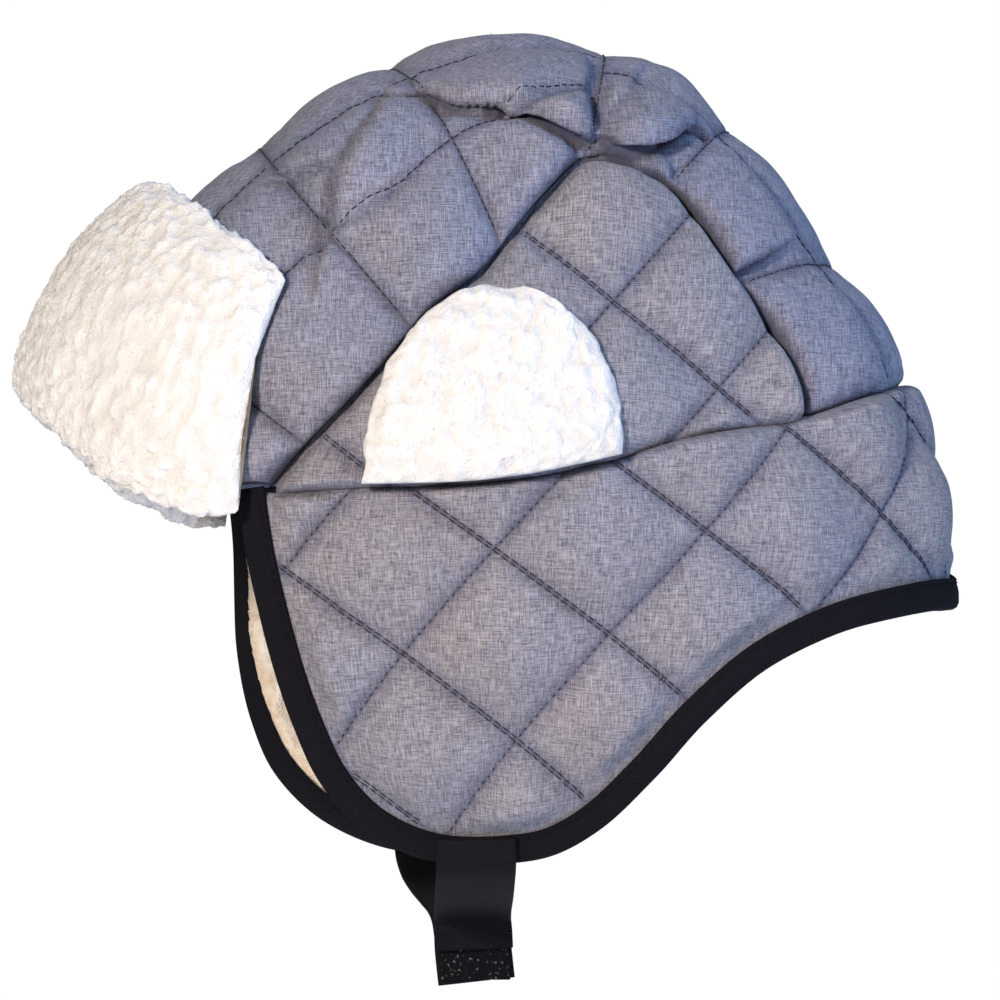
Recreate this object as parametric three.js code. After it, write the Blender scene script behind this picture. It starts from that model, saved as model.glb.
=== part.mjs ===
// Quilted earflap hat: padded crown, ear-flap band, sherpa brow flap and a webbing chin strap.
// Millimetres, +Z up, the front of the hat towards -Y and the wearer's left towards +X.
// The sewn surface is a stack of head-shaped sections, and every piece is laid on that surface.
import * as THREE from 'three';

// Padded shell
const SQUARENESS = 2.25;
const WALL = 4;
const PUFF = 4.6;
const PUFF_SHARPNESS = 0.42;
const SEAM_HALF_GAP = 0.25;

// Sherpa
const LINING_DEPTH = 6;
const PATCH_WIDTH = 62;
const PATCH_HEIGHT = 46;
const PATCH_THICKNESS = 6;
const FLAP_THICKNESS = 13;

// Edge binding and tapes
const BINDING_WIDTH = 7;
const BINDING_THICKNESS = 1.1;
const EDGE_THICKNESS = 5.1;
const TOUCH_GAP = 0.4;
const BROW_TAPE_WIDTH = 9.2;
const BROW_TAPE_THICKNESS = 1.2;

// Chin strap
const STRAP_WIDTH = 20;
const STRAP_THICKNESS = 1.6;
const TAPE_WIDTH = 18;
const TAPE_THICKNESS = 1.1;

// The point of the crown's inside where the head touches it, over the origin of the sewn surface
const SEAT_HEIGHT = 5.3;

// Colours
const HEATHER_GREY = 0x8a8b99;
const SHERPA_WHITE = 0xf7f4ee;
const SHERPA_CREAM = 0xe8d3b4;
const NAVY_BLACK = 0x1a1b24;

// Sections of the sewn surface: height, front and back reach on the middle line, half width
const SECTIONS = [
  { z: 9.5, front: -5, back: -5, half: 0 },
  { z: 8, front: -20, back: 9, half: 14 },
  { z: 5, front: -27, back: 25, half: 26 },
  { z: 0, front: -37, back: 38, half: 37 },
  { z: -8, front: -51, back: 48, half: 48.5 },
  { z: -16, front: -62.5, back: 56, half: 56.5 },
  { z: -24, front: -73, back: 63, half: 62.5 },
  { z: -34, front: -83, back: 70, half: 68 },
  { z: -46, front: -92.5, back: 78.5, half: 73 },
  { z: -60, front: -101, back: 89, half: 77.5 },
  { z: -77, front: -108, back: 99.5, half: 81 },
  { z: -95, front: -110.5, back: 106.5, half: 83.5 },
  { z: -115, front: -111, back: 110, half: 84 },
  { z: -134, front: -111, back: 113.5, half: 82.5 },
  { z: -155, front: -111, back: 114, half: 78.5 },
  { z: -175, front: -110, back: 114, half: 72 },
  { z: -207, front: -108, back: 113, half: 58 },
];

// Arched seam round the left side panel
const ARCH = [
  { y: -68.7, z: -106.5 },
  { y: -59.5, z: -95.3 },
  { y: -49, z: -84 },
  { y: -39.9, z: -73.5 },
  { y: -34, z: -65.5 },
  { y: -26.4, z: -59.2 },
  { y: -17.8, z: -53 },
  { y: -10.3, z: -44.2 },
  { y: 0.8, z: -32.2 },
  { y: 12.5, z: -21.5 },
  { y: 20, z: -20.2 },
  { y: 29, z: -23.8 },
  { y: 37.1, z: -28.4 },
  { y: 44.5, z: -38.3 },
  { y: 50.7, z: -52.2 },
  { y: 57.9, z: -62.8 },
  { y: 63.1, z: -71.9 },
  { y: 67.2, z: -82.5 },
  { y: 68.3, z: -88.2 },
];

// Crown hem, by the angle round the head from the middle of the brow
const HEM = [
  { angle: -15, z: -86 },
  { angle: 0, z: -79.5 },
  { angle: 15, z: -86 },
  { angle: 30, z: -101 },
  { angle: 41.6, z: -108 },
  { angle: 60, z: -107.6 },
  { angle: 79, z: -106.6 },
  { angle: 98.6, z: -101.6 },
  { angle: 115.4, z: -94.6 },
  { angle: 134, z: -89.6 },
  { angle: 148.7, z: -83.6 },
  { angle: 163, z: -79.8 },
  { angle: 180, z: -78.5 },
  { angle: 197, z: -79.8 },
];
const TEMPLE_ANGLE = 41.6;

// Lower edge of the ear-flap band: down the front, under the ear, up to the nape
const EDGE = [
  { angle: 41.6, z: -110.5 },
  { angle: 42.7, z: -125.5 },
  { angle: 44, z: -139 },
  { angle: 45.2, z: -151 },
  { angle: 46.8, z: -166 },
  { angle: 49, z: -180 },
  { angle: 53.5, z: -191 },
  { angle: 60, z: -197.2 },
  { angle: 68, z: -200.2 },
  { angle: 82, z: -200.4 },
  { angle: 93, z: -198.4 },
  { angle: 102.7, z: -192 },
  { angle: 111.9, z: -179 },
  { angle: 119, z: -165 },
  { angle: 127.5, z: -152 },
  { angle: 138, z: -143.2 },
  { angle: 148, z: -139 },
  { angle: 160, z: -136.5 },
  { angle: 180, z: -134.5 },
];

// Quilting lines across the centre panel, by their distance along the arched seam and along the middle
const CROSS_LINES = [
  { arch: 0, middle: 0, cells: 3, steps: 3 },
  { arch: 14, middle: 24, cells: 3, steps: 4 },
  { arch: 54, middle: 60, cells: 3, steps: 4 },
  { arch: 86, middle: 114, cells: 3, steps: 6 },
  { arch: 123, middle: 172, cells: 2, steps: 4 },
  { arch: 147, middle: 212, cells: 2, steps: 5 },
  { arch: 179, middle: 258, cells: 2, steps: 4 },
  { arch: 217, middle: 290, cells: 2, steps: 0 },
];

// Quilting squares of the band and of the side panels: one crossing and the two steps between crossings
const BAND_QUILT = { at: [119.9, -148.8], right: [29.5, -21.1], up: [24, 25.9] };
const SIDE_QUILT = { at: [16.9, -61.2], right: [26.6, -21.3], up: [24.2, 26.2] };

// Folds where the crown is gathered: two ends on the side view, depth, width, bulge above the fold
const FOLDS = [
  { y1: -36, z1: -6, y2: -14, z2: -8, depth: 4, width: 6, bulge: 2.5 },
  { y1: -14, z1: -8, y2: 14, z2: -18, depth: 5.5, width: 6, bulge: 3.5 },
  { y1: 20, z1: -17, y2: 22, z2: 3, depth: 4, width: 5, bulge: 0 },
  { y1: 26, z1: -22, y2: 47, z2: -15, depth: 4, width: 5, bulge: 0 },
  { y1: 34, z1: -25, y2: 46, z2: -40, depth: 3.5, width: 5, bulge: 0 },
];

// Brow flap by its share from the middle to an end: height of its head on the sewn surface, drop of its foot
// below the hem, and the middle of its thickness over the sewn surface
const FLAP_SECTIONS = [
  { share: -0.4, head: -38.5, drop: 6, over: 15.5 },
  { share: 0, head: -36.5, drop: 5.5, over: 15.5 },
  { share: 0.4, head: -38.5, drop: 6, over: 15.5 },
  { share: 0.7, head: -44.5, drop: 7, over: 13.3 },
  { share: 0.9, head: -52, drop: 7.6, over: 11 },
  { share: 1, head: -56.5, drop: 8, over: 9.6 },
];

// Middle line of the left strap's webbing from the flap to the joined ends under the chin
const STRAP_PATH = [
  { x: 66.3, y: -16.2, z: -194.8 },
  { x: 63.8, y: -16, z: -201.5 },
  { x: 54, y: -15.4, z: -206.6 },
  { x: 38, y: -14.2, z: -210.6 },
  { x: 20, y: -12.8, z: -213.6 },
  { x: 8, y: -11.8, z: -215.8 },
  { x: 3.2, y: -11.3, z: -218 },
  { x: 2.1, y: -10.9, z: -221 },
  { x: 2, y: -10.7, z: -225 },
];
const RIGHT_STRAP_EXTRA = 8.5;
const TAPE_TOP = -218.5;
const TAPE_BOTTOM = -233;

const HEART = new THREE.Vector3(0, 0, -95);
const FAR = 260;
const HALVINGS = 40;
const Z_TOP = SECTIONS[0].z;

const clamp = (value, low, high) => Math.min(Math.max(value, low), high);
const mix = (a, b, share) => a + (b - a) * share;
const smooth = (value) => {
  const t = clamp(value, 0, 1);
  return t * t * (3 - 2 * t);
};

// A smooth curve through table values
function curveThrough(xs, ys) {
  const last = xs.length - 1;
  const slopes = xs.map((x, i) => {
    if (i === 0) return (ys[1] - ys[0]) / (xs[1] - xs[0]);
    if (i === last) return (ys[last] - ys[last - 1]) / (xs[last] - xs[last - 1]);
    const before = x - xs[i - 1];
    const after = xs[i + 1] - x;
    const rise = before ** 2 * ys[i + 1] + (after ** 2 - before ** 2) * ys[i] - after ** 2 * ys[i - 1];
    return rise / (before * after * (before + after));
  });
  return (value) => {
    const x = clamp(value, xs[0], xs[last]);
    let i = 0;
    while (i < last - 1 && x > xs[i + 1]) i += 1;
    const h = xs[i + 1] - xs[i];
    const t = (x - xs[i]) / h;
    return (2 * t ** 3 - 3 * t ** 2 + 1) * ys[i] + (t ** 3 - 2 * t ** 2 + t) * h * slopes[i]
      + (3 * t ** 2 - 2 * t ** 3) * ys[i + 1] + (t ** 3 - t ** 2) * h * slopes[i + 1];
  };
}

const sectionDepths = SECTIONS.map((row) => Math.sqrt(Z_TOP - row.z));
const frontAt = curveThrough(sectionDepths, SECTIONS.map((row) => row.front));
const backAt = curveThrough(sectionDepths, SECTIONS.map((row) => row.back));
const halfAt = curveThrough(sectionDepths, SECTIONS.map((row) => row.half));
const hemAt = curveThrough(HEM.map((row) => row.angle), HEM.map((row) => row.z));

// Negative inside the sewn surface, zero on it
function outside(point) {
  const depth = Math.sqrt(Math.max(Z_TOP - point.z, 1e-4));
  const front = frontAt(depth);
  const back = backAt(depth);
  const across = Math.abs(point.x) / Math.max(halfAt(depth), 1e-3);
  const along = Math.abs(point.y - (front + back) / 2) / Math.max((back - front) / 2, 1e-3);
  return (across ** SQUARENESS + along ** SQUARENESS) ** (1 / SQUARENESS) - 1;
}

// The point of the sewn surface that is seen from a place inside in a direction
function castFrom(start, direction) {
  const unit = direction.clone().normalize();
  let near = 0;
  let far = FAR;
  for (let i = 0; i < HALVINGS; i += 1) {
    const middle = (near + far) / 2;
    const point = start.clone().addScaledVector(unit, middle);
    if (point.z < Z_TOP && outside(point) < 0) near = middle;
    else far = middle;
  }
  return start.clone().addScaledVector(unit, near);
}

function towards(direction) {
  return castFrom(HEART, direction);
}

function atAngle(degrees, z) {
  const angle = THREE.MathUtils.degToRad(degrees);
  return castFrom(new THREE.Vector3(0, 0, z), new THREE.Vector3(Math.sin(angle), -Math.cos(angle), 0));
}

function onSide(y, z) {
  return castFrom(new THREE.Vector3(0, y, z), new THREE.Vector3(1, 0, 0));
}

function normalAt(point) {
  const step = 0.4;
  const probe = (dx, dy, dz) => outside(new THREE.Vector3(point.x + dx, point.y + dy, point.z + dz));
  return new THREE.Vector3(
    probe(step, 0, 0) - probe(-step, 0, 0),
    probe(0, step, 0) - probe(0, -step, 0),
    probe(0, 0, step) - probe(0, 0, -step),
  ).normalize();
}

function lift(point, height) {
  return point.clone().addScaledVector(normalAt(point), height);
}

// A share of the way over the surface from one of its points to another
function between(from, to, share) {
  const a = from.clone().sub(HEART).normalize();
  const b = to.clone().sub(HEART).normalize();
  const turn = Math.acos(clamp(a.dot(b), -1, 1));
  if (turn < 1e-6) return from.clone();
  const direction = a.multiplyScalar(Math.sin((1 - share) * turn)).addScaledVector(b, Math.sin(share * turn));
  return towards(direction);
}

function angleOf(point) {
  return THREE.MathUtils.radToDeg(Math.atan2(Math.abs(point.x), -point.y));
}

// Closed bodies

function closedGeometry(points, triangles) {
  let volume = 0;
  for (const [a, b, c] of triangles) volume += points[a].dot(points[b].clone().cross(points[c]));
  const turned = volume < 0 ? triangles.map(([a, b, c]) => [a, c, b]) : triangles;
  const geometry = new THREE.BufferGeometry();
  const numbers = points.flatMap((point) => [point.x, point.y, point.z]);
  geometry.setAttribute('position', new THREE.Float32BufferAttribute(numbers, 3));
  geometry.setIndex(turned.flat());
  geometry.computeVertexNormals();
  return geometry;
}

// A sheet with thickness: place(i, j) gives its outer and inner point
function sheetGeometry(rows, columns, place) {
  const points = [];
  const triangles = [];
  const index = (side, i, j) => side * (rows + 1) * (columns + 1) + i * (columns + 1) + j;
  const cells = [];
  for (let i = 0; i <= rows; i += 1) {
    for (let j = 0; j <= columns; j += 1) cells.push(place(i, j));
  }
  for (const side of [0, 1]) {
    for (const cell of cells) points.push(cell[side]);
  }
  const quad = (a, b, c, d) => {
    const folds = points[a].distanceTo(points[c]) <= points[b].distanceTo(points[d]);
    if (folds) triangles.push([a, b, c], [a, c, d]);
    else triangles.push([a, b, d], [b, c, d]);
  };
  for (let i = 0; i < rows; i += 1) {
    for (let j = 0; j < columns; j += 1) {
      quad(index(0, i, j), index(0, i, j + 1), index(0, i + 1, j + 1), index(0, i + 1, j));
      quad(index(1, i, j), index(1, i + 1, j), index(1, i + 1, j + 1), index(1, i, j + 1));
    }
  }
  for (let j = 0; j < columns; j += 1) {
    quad(index(0, 0, j), index(1, 0, j), index(1, 0, j + 1), index(0, 0, j + 1));
    quad(index(0, rows, j), index(0, rows, j + 1), index(1, rows, j + 1), index(1, rows, j));
  }
  for (let i = 0; i < rows; i += 1) {
    quad(index(0, i, 0), index(0, i + 1, 0), index(1, i + 1, 0), index(1, i, 0));
    quad(index(0, i, columns), index(1, i, columns), index(1, i + 1, columns), index(0, i + 1, columns));
  }
  return closedGeometry(points, triangles);
}

// A body through equal closed loops of points, with flat ends
function loftGeometry(loops, outline) {
  const size = outline.length;
  const triangles = [];
  for (let i = 0; i < loops.length - 1; i += 1) {
    for (let j = 0; j < size; j += 1) {
      const next = (j + 1) % size;
      const low = i * size;
      const high = low + size;
      triangles.push([low + j, low + next, high + next], [low + j, high + next, high + j]);
    }
  }
  const cap = THREE.ShapeUtils.triangulateShape(outline, []);
  const clockwise = THREE.ShapeUtils.isClockWise(outline);
  const end = (loops.length - 1) * size;
  for (const [a, b, c] of cap) {
    if (clockwise) triangles.push([a, b, c], [end + a, end + c, end + b]);
    else triangles.push([a, c, b], [end + a, end + b, end + c]);
  }
  return closedGeometry(loops.flat(), triangles);
}

function mirrored(geometry) {
  const copy = geometry.clone().applyMatrix4(new THREE.Matrix4().makeScale(-1, 1, 1));
  const index = copy.getIndex();
  for (let i = 0; i < index.count; i += 3) {
    const second = index.getX(i + 1);
    index.setX(i + 1, index.getX(i + 2));
    index.setX(i + 2, second);
  }
  copy.computeVertexNormals();
  return copy;
}

// Quilting, with the distances over which the padding fills out beside an edge

const SIDE_FADE = 7;
const HEM_FADE = 8;
const EDGE_FADE = 7;
const LINING_FADE = 10;
const FULL_DEPTH = 9;

function pillow(p, q) {
  return Math.abs(Math.sin(Math.PI * p) * Math.sin(Math.PI * q)) ** PUFF_SHARPNESS;
}

// Place of a point in a field of quilting squares, in squares
function squares(quilt, a, z) {
  const [ax, az] = quilt.right;
  const [bx, bz] = quilt.up;
  const size = ax * bz - az * bx;
  const da = a - quilt.at[0];
  const dz = z - quilt.at[1];
  return [(da * bz - dz * bx) / size, (ax * dz - az * da) / size];
}

const girthAngles = Array.from({ length: 91 }, (_, i) => i * 2);
const girthPoints = girthAngles.map((angle) => atAngle(angle, -115));
const girthLengths = girthPoints.map(() => 0);
for (let i = 1; i < girthPoints.length; i += 1) {
  girthLengths[i] = girthLengths[i - 1] + girthPoints[i].distanceTo(girthPoints[i - 1]);
}
const girthAt = curveThrough(girthAngles, girthLengths);

// Depth of the gathers at a point of the crown
function foldDepth(point) {
  let height = 0;
  for (const fold of FOLDS) {
    const along = new THREE.Vector2(fold.y2 - fold.y1, fold.z2 - fold.z1);
    const from = new THREE.Vector2(point.y - fold.y1, point.z - fold.z1);
    const share = clamp(from.dot(along) / along.lengthSq(), 0, 1);
    const off = from.clone().addScaledVector(along, -share);
    const over = off.x * -along.y + off.y * along.x;
    height -= fold.depth * Math.exp(-((off.length() / fold.width) ** 2));
    const crest = Math.exp(-(((off.length() - 1.8 * fold.width) / fold.width) ** 2));
    height += fold.bulge * crest * smooth(over / (along.length() * fold.width));
  }
  return height;
}

function mesh(name, geometry, color, roughness) {
  const piece = new THREE.Mesh(geometry, new THREE.MeshStandardMaterial({ color, roughness, metalness: 0 }));
  piece.name = name;
  return piece;
}

// Crown centre panel

const archCurve = new THREE.CatmullRomCurve3(ARCH.map((row) => onSide(row.y, row.z)));
archCurve.arcLengthDivisions = 400;
const MIDDLE_STEPS = 60;
const middleStart = atAngle(0, hemAt(0)).sub(HEART);
const middleEnd = atAngle(180, hemAt(180)).sub(HEART);
const startTurn = Math.atan2(middleStart.z, -middleStart.y);
const endTurn = Math.atan2(middleEnd.z, -middleEnd.y);
const middlePoints = Array.from({ length: MIDDLE_STEPS + 1 }, (_, i) => {
  const turn = mix(startTurn, endTurn, i / MIDDLE_STEPS);
  return towards(new THREE.Vector3(0, -Math.cos(turn), Math.sin(turn)));
});
const middleCurve = new THREE.CatmullRomCurve3(middlePoints);
middleCurve.arcLengthDivisions = 400;

// The rows of the panel: where each starts on the seam and on the middle line, and its place in its square
const crossRows = [];
CROSS_LINES.slice(0, -1).forEach((line, k) => {
  const next = CROSS_LINES[k + 1];
  const last = k === CROSS_LINES.length - 2;
  for (let i = 0; i < line.steps + (last ? 1 : 0); i += 1) {
    const share = i / line.steps;
    crossRows.push({
      arch: mix(line.arch, next.arch, share) / CROSS_LINES.at(-1).arch,
      middle: mix(line.middle, next.middle, share) / CROSS_LINES.at(-1).middle,
      place: share,
      cells: line.cells,
    });
  }
});

const HALF_COLUMNS = 9;
const ARC_OVER_CHORD = 1.08;
const HEM_SHARE = 0.12;
const SEAM_FADE = 6;
const LEAST_PADDING = 1.5;

function centerPanel() {
  const place = (i, j) => {
    const row = crossRows[i];
    const side = j < HALF_COLUMNS ? 1 : -1;
    const seam = archCurve.getPointAt(row.arch);
    const middle = middleCurve.getPointAt(row.middle);
    const width = seam.distanceTo(middle) * ARC_OVER_CHORD;
    const share = mix(SEAM_HALF_GAP / width, 1, 1 - Math.abs(j - HALF_COLUMNS) / HALF_COLUMNS);
    let point = between(seam, middle, share);
    const toHem = Math.min(row.middle, 1 - row.middle);
    const pull = clamp(1 - toHem / HEM_SHARE, 0, 1) * Math.min(share * SEAM_FADE, 1);
    const angle = angleOf(point);
    const hem = hemAt(angle) + SEAM_HALF_GAP;
    const endMiddle = middleCurve.getPointAt(row.middle < 0.5 ? 0 : 1);
    const endSeam = archCurve.getPointAt(row.middle < 0.5 ? 0 : 1);
    const endZ = between(endSeam, endMiddle, share).z;
    if (pull > 0) point = atAngle(angle, point.z + (hem - endZ) * pull);
    const puff = PUFF * pillow(row.place, share * row.cells) + foldDepth(point);
    const height = Math.max(puff, LEAST_PADDING - WALL);
    const pair = [lift(point, height), lift(point, -WALL)];
    for (const corner of pair) corner.x = side * Math.abs(corner.x) * (j === HALF_COLUMNS ? 0 : 1);
    return pair;
  };
  return sheetGeometry(crossRows.length - 1, 2 * HALF_COLUMNS, place);
}

// Side panels

const SIDE_ROWS = 7;
const sideStations = crossRows.slice(1, -1).map((row) => row.arch);
const SIDE_COLUMNS = sideStations.length - 1;

function sideHeight(point) {
  const [p, q] = squares(SIDE_QUILT, point.y, point.z);
  return PUFF * pillow(p, q);
}

function sideHem(y) {
  return hemAt(angleOf(onSide(y, -100))) + SEAM_HALF_GAP;
}

function sidePanel() {
  const top = (share) => {
    const here = archCurve.getPointAt(share);
    const tangent = archCurve.getTangentAt(share);
    const flat = new THREE.Vector2(tangent.y, tangent.z).normalize();
    return new THREE.Vector2(here.y + flat.y * SEAM_HALF_GAP, here.z - flat.x * SEAM_HALF_GAP);
  };
  const place = (i, j) => {
    const share = sideStations[j];
    const high = top(share);
    const lowY = mix(ARCH[0].y + 1, ARCH.at(-1).y - 1, j / SIDE_COLUMNS);
    const rise = i / SIDE_ROWS;
    const point = onSide(mix(lowY, high.x, rise), mix(sideHem(lowY), high.y, rise));
    const edge = Math.min(rise * (high.y - sideHem(lowY)), (1 - rise) * (high.y - sideHem(lowY)));
    const ends = Math.min(j, SIDE_COLUMNS - j) / 2;
    const height = sideHeight(point) * smooth(edge / SIDE_FADE) * smooth(ends);
    return [lift(point, height), lift(point, -WALL)];
  };
  return sheetGeometry(SIDE_ROWS, SIDE_COLUMNS, place);
}

// Ear-flap band and its lining

const BAND_HALF_COLUMNS = 26;
const BAND_ROWS = 8;

// The band's edge as one curve from the left temple round the nape, by share of the half length
const edgeCurve = new THREE.CatmullRomCurve3(EDGE.map((row) => atAngle(row.angle, row.z)));
edgeCurve.arcLengthDivisions = 400;

function edgePoint(share) {
  const point = edgeCurve.getPointAt(share);
  return towards(point.sub(HEART));
}

function bandHem(share) {
  const angle = mix(TEMPLE_ANGLE, 180, share ** 0.9);
  return atAngle(angle, hemAt(angle) - SEAM_HALF_GAP);
}

const EDGE_SAMPLES = 240;
const edgeSamples = Array.from({ length: EDGE_SAMPLES + 1 }, (_, i) => edgePoint(i / EDGE_SAMPLES));

function pastBinding(point) {
  const nearest = Math.min(...edgeSamples.map((sample) => sample.distanceTo(point)));
  return nearest - BINDING_WIDTH - 2 * TOUCH_GAP;
}

// A point of the band by column and row. The last row is the edge, and the one before it clears the binding
function bandPoint(j, i) {
  const share = Math.abs(j - BAND_HALF_COLUMNS) / BAND_HALF_COLUMNS;
  const side = j <= BAND_HALF_COLUMNS ? 1 : -1;
  const hem = bandHem(1 - share);
  const edge = edgePoint(1 - share);
  const length = hem.distanceTo(edge);
  let clear = 0.5;
  if (pastBinding(hem) > 0) {
    let covered = 1;
    clear = 0;
    for (let k = 0; k < 12; k += 1) {
      const middle = (clear + covered) / 2;
      if (pastBinding(between(hem, edge, middle)) > 0) clear = middle;
      else covered = middle;
    }
  }
  const down = i === BAND_ROWS ? 1 - TOUCH_GAP / length : (clear * i) / (BAND_ROWS - 1);
  const point = between(hem, edge, down);
  return { point, side, fromHem: length * down, past: pastBinding(point) };
}

function sided(pair, side, middle) {
  for (const corner of pair) corner.x = middle ? 0 : side * Math.abs(corner.x);
  return pair;
}

function bandHeight(point, fromHem, past) {
  const [p, q] = squares(BAND_QUILT, girthAt(angleOf(point)), point.z);
  return PUFF * pillow(p, q) * smooth(fromHem / HEM_FADE) * smooth(past / EDGE_FADE);
}

function earFlapBand() {
  const place = (i, j) => {
    const { point, side, fromHem, past } = bandPoint(j, i);
    const full = smooth(past / FULL_DEPTH);
    const height = bandHeight(point, fromHem, past);
    const depth = mix(EDGE_THICKNESS * 0.45, WALL, full);
    return sided([lift(point, height), lift(point, -depth)], side, j === BAND_HALF_COLUMNS);
  };
  return sheetGeometry(BAND_ROWS, 2 * BAND_HALF_COLUMNS, place);
}

function flapLining() {
  const place = (i, j) => {
    const { point, side, fromHem, past } = bandPoint(j, i);
    const full = smooth(past / FULL_DEPTH);
    const outer = mix(EDGE_THICKNESS * 0.45, WALL, full) + TOUCH_GAP;
    const pile = full * mix(0.4, 1, smooth(fromHem / LINING_FADE));
    const inner = mix(EDGE_THICKNESS - 2 * TOUCH_GAP, WALL + LINING_DEPTH, pile);
    return sided([lift(point, -outer), lift(point, -inner)], side, j === BAND_HALF_COLUMNS);
  };
  return sheetGeometry(BAND_ROWS, 2 * BAND_HALF_COLUMNS, place);
}

// Edge binding, folded round the band and the lining

const BINDING_HALF_STEPS = 36;

function edgeBinding() {
  const out = TOUCH_GAP + BINDING_THICKNESS;
  const inner = -EDGE_THICKNESS - TOUCH_GAP;
  const innermost = inner - BINDING_THICKNESS;
  const outline = [
    [BINDING_WIDTH, TOUCH_GAP],
    [BINDING_WIDTH, out],
    [0, out],
    [-BINDING_THICKNESS, TOUCH_GAP],
    [-BINDING_THICKNESS, inner],
    [0, innermost],
    [BINDING_WIDTH, innermost],
    [BINDING_WIDTH, inner],
    [-0.1, inner],
    [-0.1, TOUCH_GAP],
  ].map(([across, height]) => new THREE.Vector2(across, height));
  const loops = [];
  for (let j = 0; j <= 2 * BINDING_HALF_STEPS; j += 1) {
    const share = clamp(1 - Math.abs(j - BINDING_HALF_STEPS) / BINDING_HALF_STEPS, 0.001, 1);
    const side = j <= BINDING_HALF_STEPS ? 1 : -1;
    const middle = j === BINDING_HALF_STEPS;
    const point = edgePoint(share);
    const normal = normalAt(point);
    const ahead = edgePoint(Math.min(share + 0.004, 1));
    const behind = edgePoint(Math.max(share - 0.004, 0));
    const tangent = middle ? new THREE.Vector3(-1, 0, 0) : ahead.sub(behind).normalize();
    const inward = tangent.clone().cross(normal).normalize().multiplyScalar(-1);
    if (inward.z < 0 && share > 0.5) inward.multiplyScalar(-1);
    loops.push(outline.map(({ x, y }) => {
      const corner = point.clone().addScaledVector(inward, x).addScaledVector(normal, y);
      corner.x = middle ? 0 : side * Math.abs(corner.x);
      return corner;
    }));
  }
  return loftGeometry(loops, outline);
}

// Brow flap: a thick sherpa strip turned up in front of the crown

const FLAP_STEPS = 22;
const FLAP_SIDES = 16;
const FLAP_FOOT_ANGLE = 43.5;
const FLAP_HEAD_ANGLE = 47.5;
const FLAP_CORNER = 0.7;
const FLAP_FOOT_LEAN = 1.05;
const FLAP_HEAD_LEAN = 0.79;
const FLAP_END = 0.06;

const flapShares = FLAP_SECTIONS.map((row) => row.share);
const flapHead = curveThrough(flapShares, FLAP_SECTIONS.map((row) => row.head));
const flapDrop = curveThrough(flapShares, FLAP_SECTIONS.map((row) => row.drop));
const flapOver = curveThrough(flapShares, FLAP_SECTIONS.map((row) => row.over));

function browFlap() {
  const squared = (value) => Math.sign(value) * Math.abs(value) ** FLAP_CORNER;
  const outline = Array.from({ length: FLAP_SIDES }, (_, k) => {
    const turn = (2 * Math.PI * k) / FLAP_SIDES;
    return new THREE.Vector2(squared(Math.cos(turn)), squared(Math.sin(turn)));
  });
  const loops = [];
  for (let i = 0; i <= FLAP_STEPS; i += 1) {
    const share = (2 * i) / FLAP_STEPS - 1;
    const width = Math.abs(share);
    const squeeze = Math.max(1 - width ** 7, FLAP_END) ** 0.5;
    const footAngle = width * FLAP_FOOT_ANGLE;
    const foot = atAngle(footAngle, hemAt(footAngle) - flapDrop(width));
    const head = atAngle(width * FLAP_HEAD_ANGLE, flapHead(width));
    const side = share < 0 ? 1 : -1;
    loops.push(outline.map(({ x, y }) => {
      const rise = 0.5 + 0.5 * x * mix(0.93, 1, squeeze);
      const middle = flapOver(width) * mix(FLAP_FOOT_LEAN, FLAP_HEAD_LEAN, rise);
      const corner = lift(between(foot, head, rise), middle + (y * FLAP_THICKNESS * squeeze) / 2);
      corner.x = share === 0 ? 0 : side * Math.abs(corner.x);
      return corner;
    }));
  }
  return loftGeometry(loops, outline);
}

// Tape along the brow, under the crown's front hem and the foot of the flap

const BROW_STEPS = 20;

function browTape() {
  const place = (i, j) => {
    const share = (2 * j) / BROW_STEPS - 1;
    const angle = Math.abs(share) * (TEMPLE_ANGLE - 3);
    const point = atAngle(angle, hemAt(angle) - TOUCH_GAP);
    const top = lift(point, mix(-WALL, BROW_TAPE_WIDTH - WALL, i));
    const bottom = top.clone().setZ(top.z - BROW_TAPE_THICKNESS);
    return sided([top, bottom], share < 0 ? 1 : -1, share === 0);
  };
  return sheetGeometry(1, BROW_STEPS, place);
}

// Ear patch: a half-round of sherpa on the side panel, its straight edge on the hem seam

const PATCH_MIDDLE_Y = -13.8;
const PATCH_COLUMNS = 14;
const PATCH_ROWS = 7;

function earPatch() {
  const place = (i, j) => {
    const rise = i / PATCH_ROWS;
    const across = (2 * j) / PATCH_COLUMNS - 1;
    const half = (PATCH_WIDTH / 2) * (1 - 0.985 * rise ** 2.2) ** 0.5;
    const y = PATCH_MIDDLE_Y + across * half + rise * 1.5;
    const foot = mix(sideHem(PATCH_MIDDLE_Y + across * (PATCH_WIDTH / 2)), sideHem(PATCH_MIDDLE_Y), rise);
    const z = foot + 0.8 + rise * PATCH_HEIGHT;
    const point = onSide(y, z);
    const rim = Math.min(1 - Math.abs(across), (1 - rise) * 0.9, 0.1 + rise) * 3.2;
    const round = Math.sqrt(1 - (1 - clamp(rim, 0, 1)) ** 2);
    const base = PUFF * 0.72 + TOUCH_GAP + 1;
    return [lift(point, base + 1 + (PATCH_THICKNESS - 1) * round), lift(point, base)];
  };
  return sheetGeometry(PATCH_ROWS, PATCH_COLUMNS, place);
}

// Chin strap

const STRAP_STEPS = 26;

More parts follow.
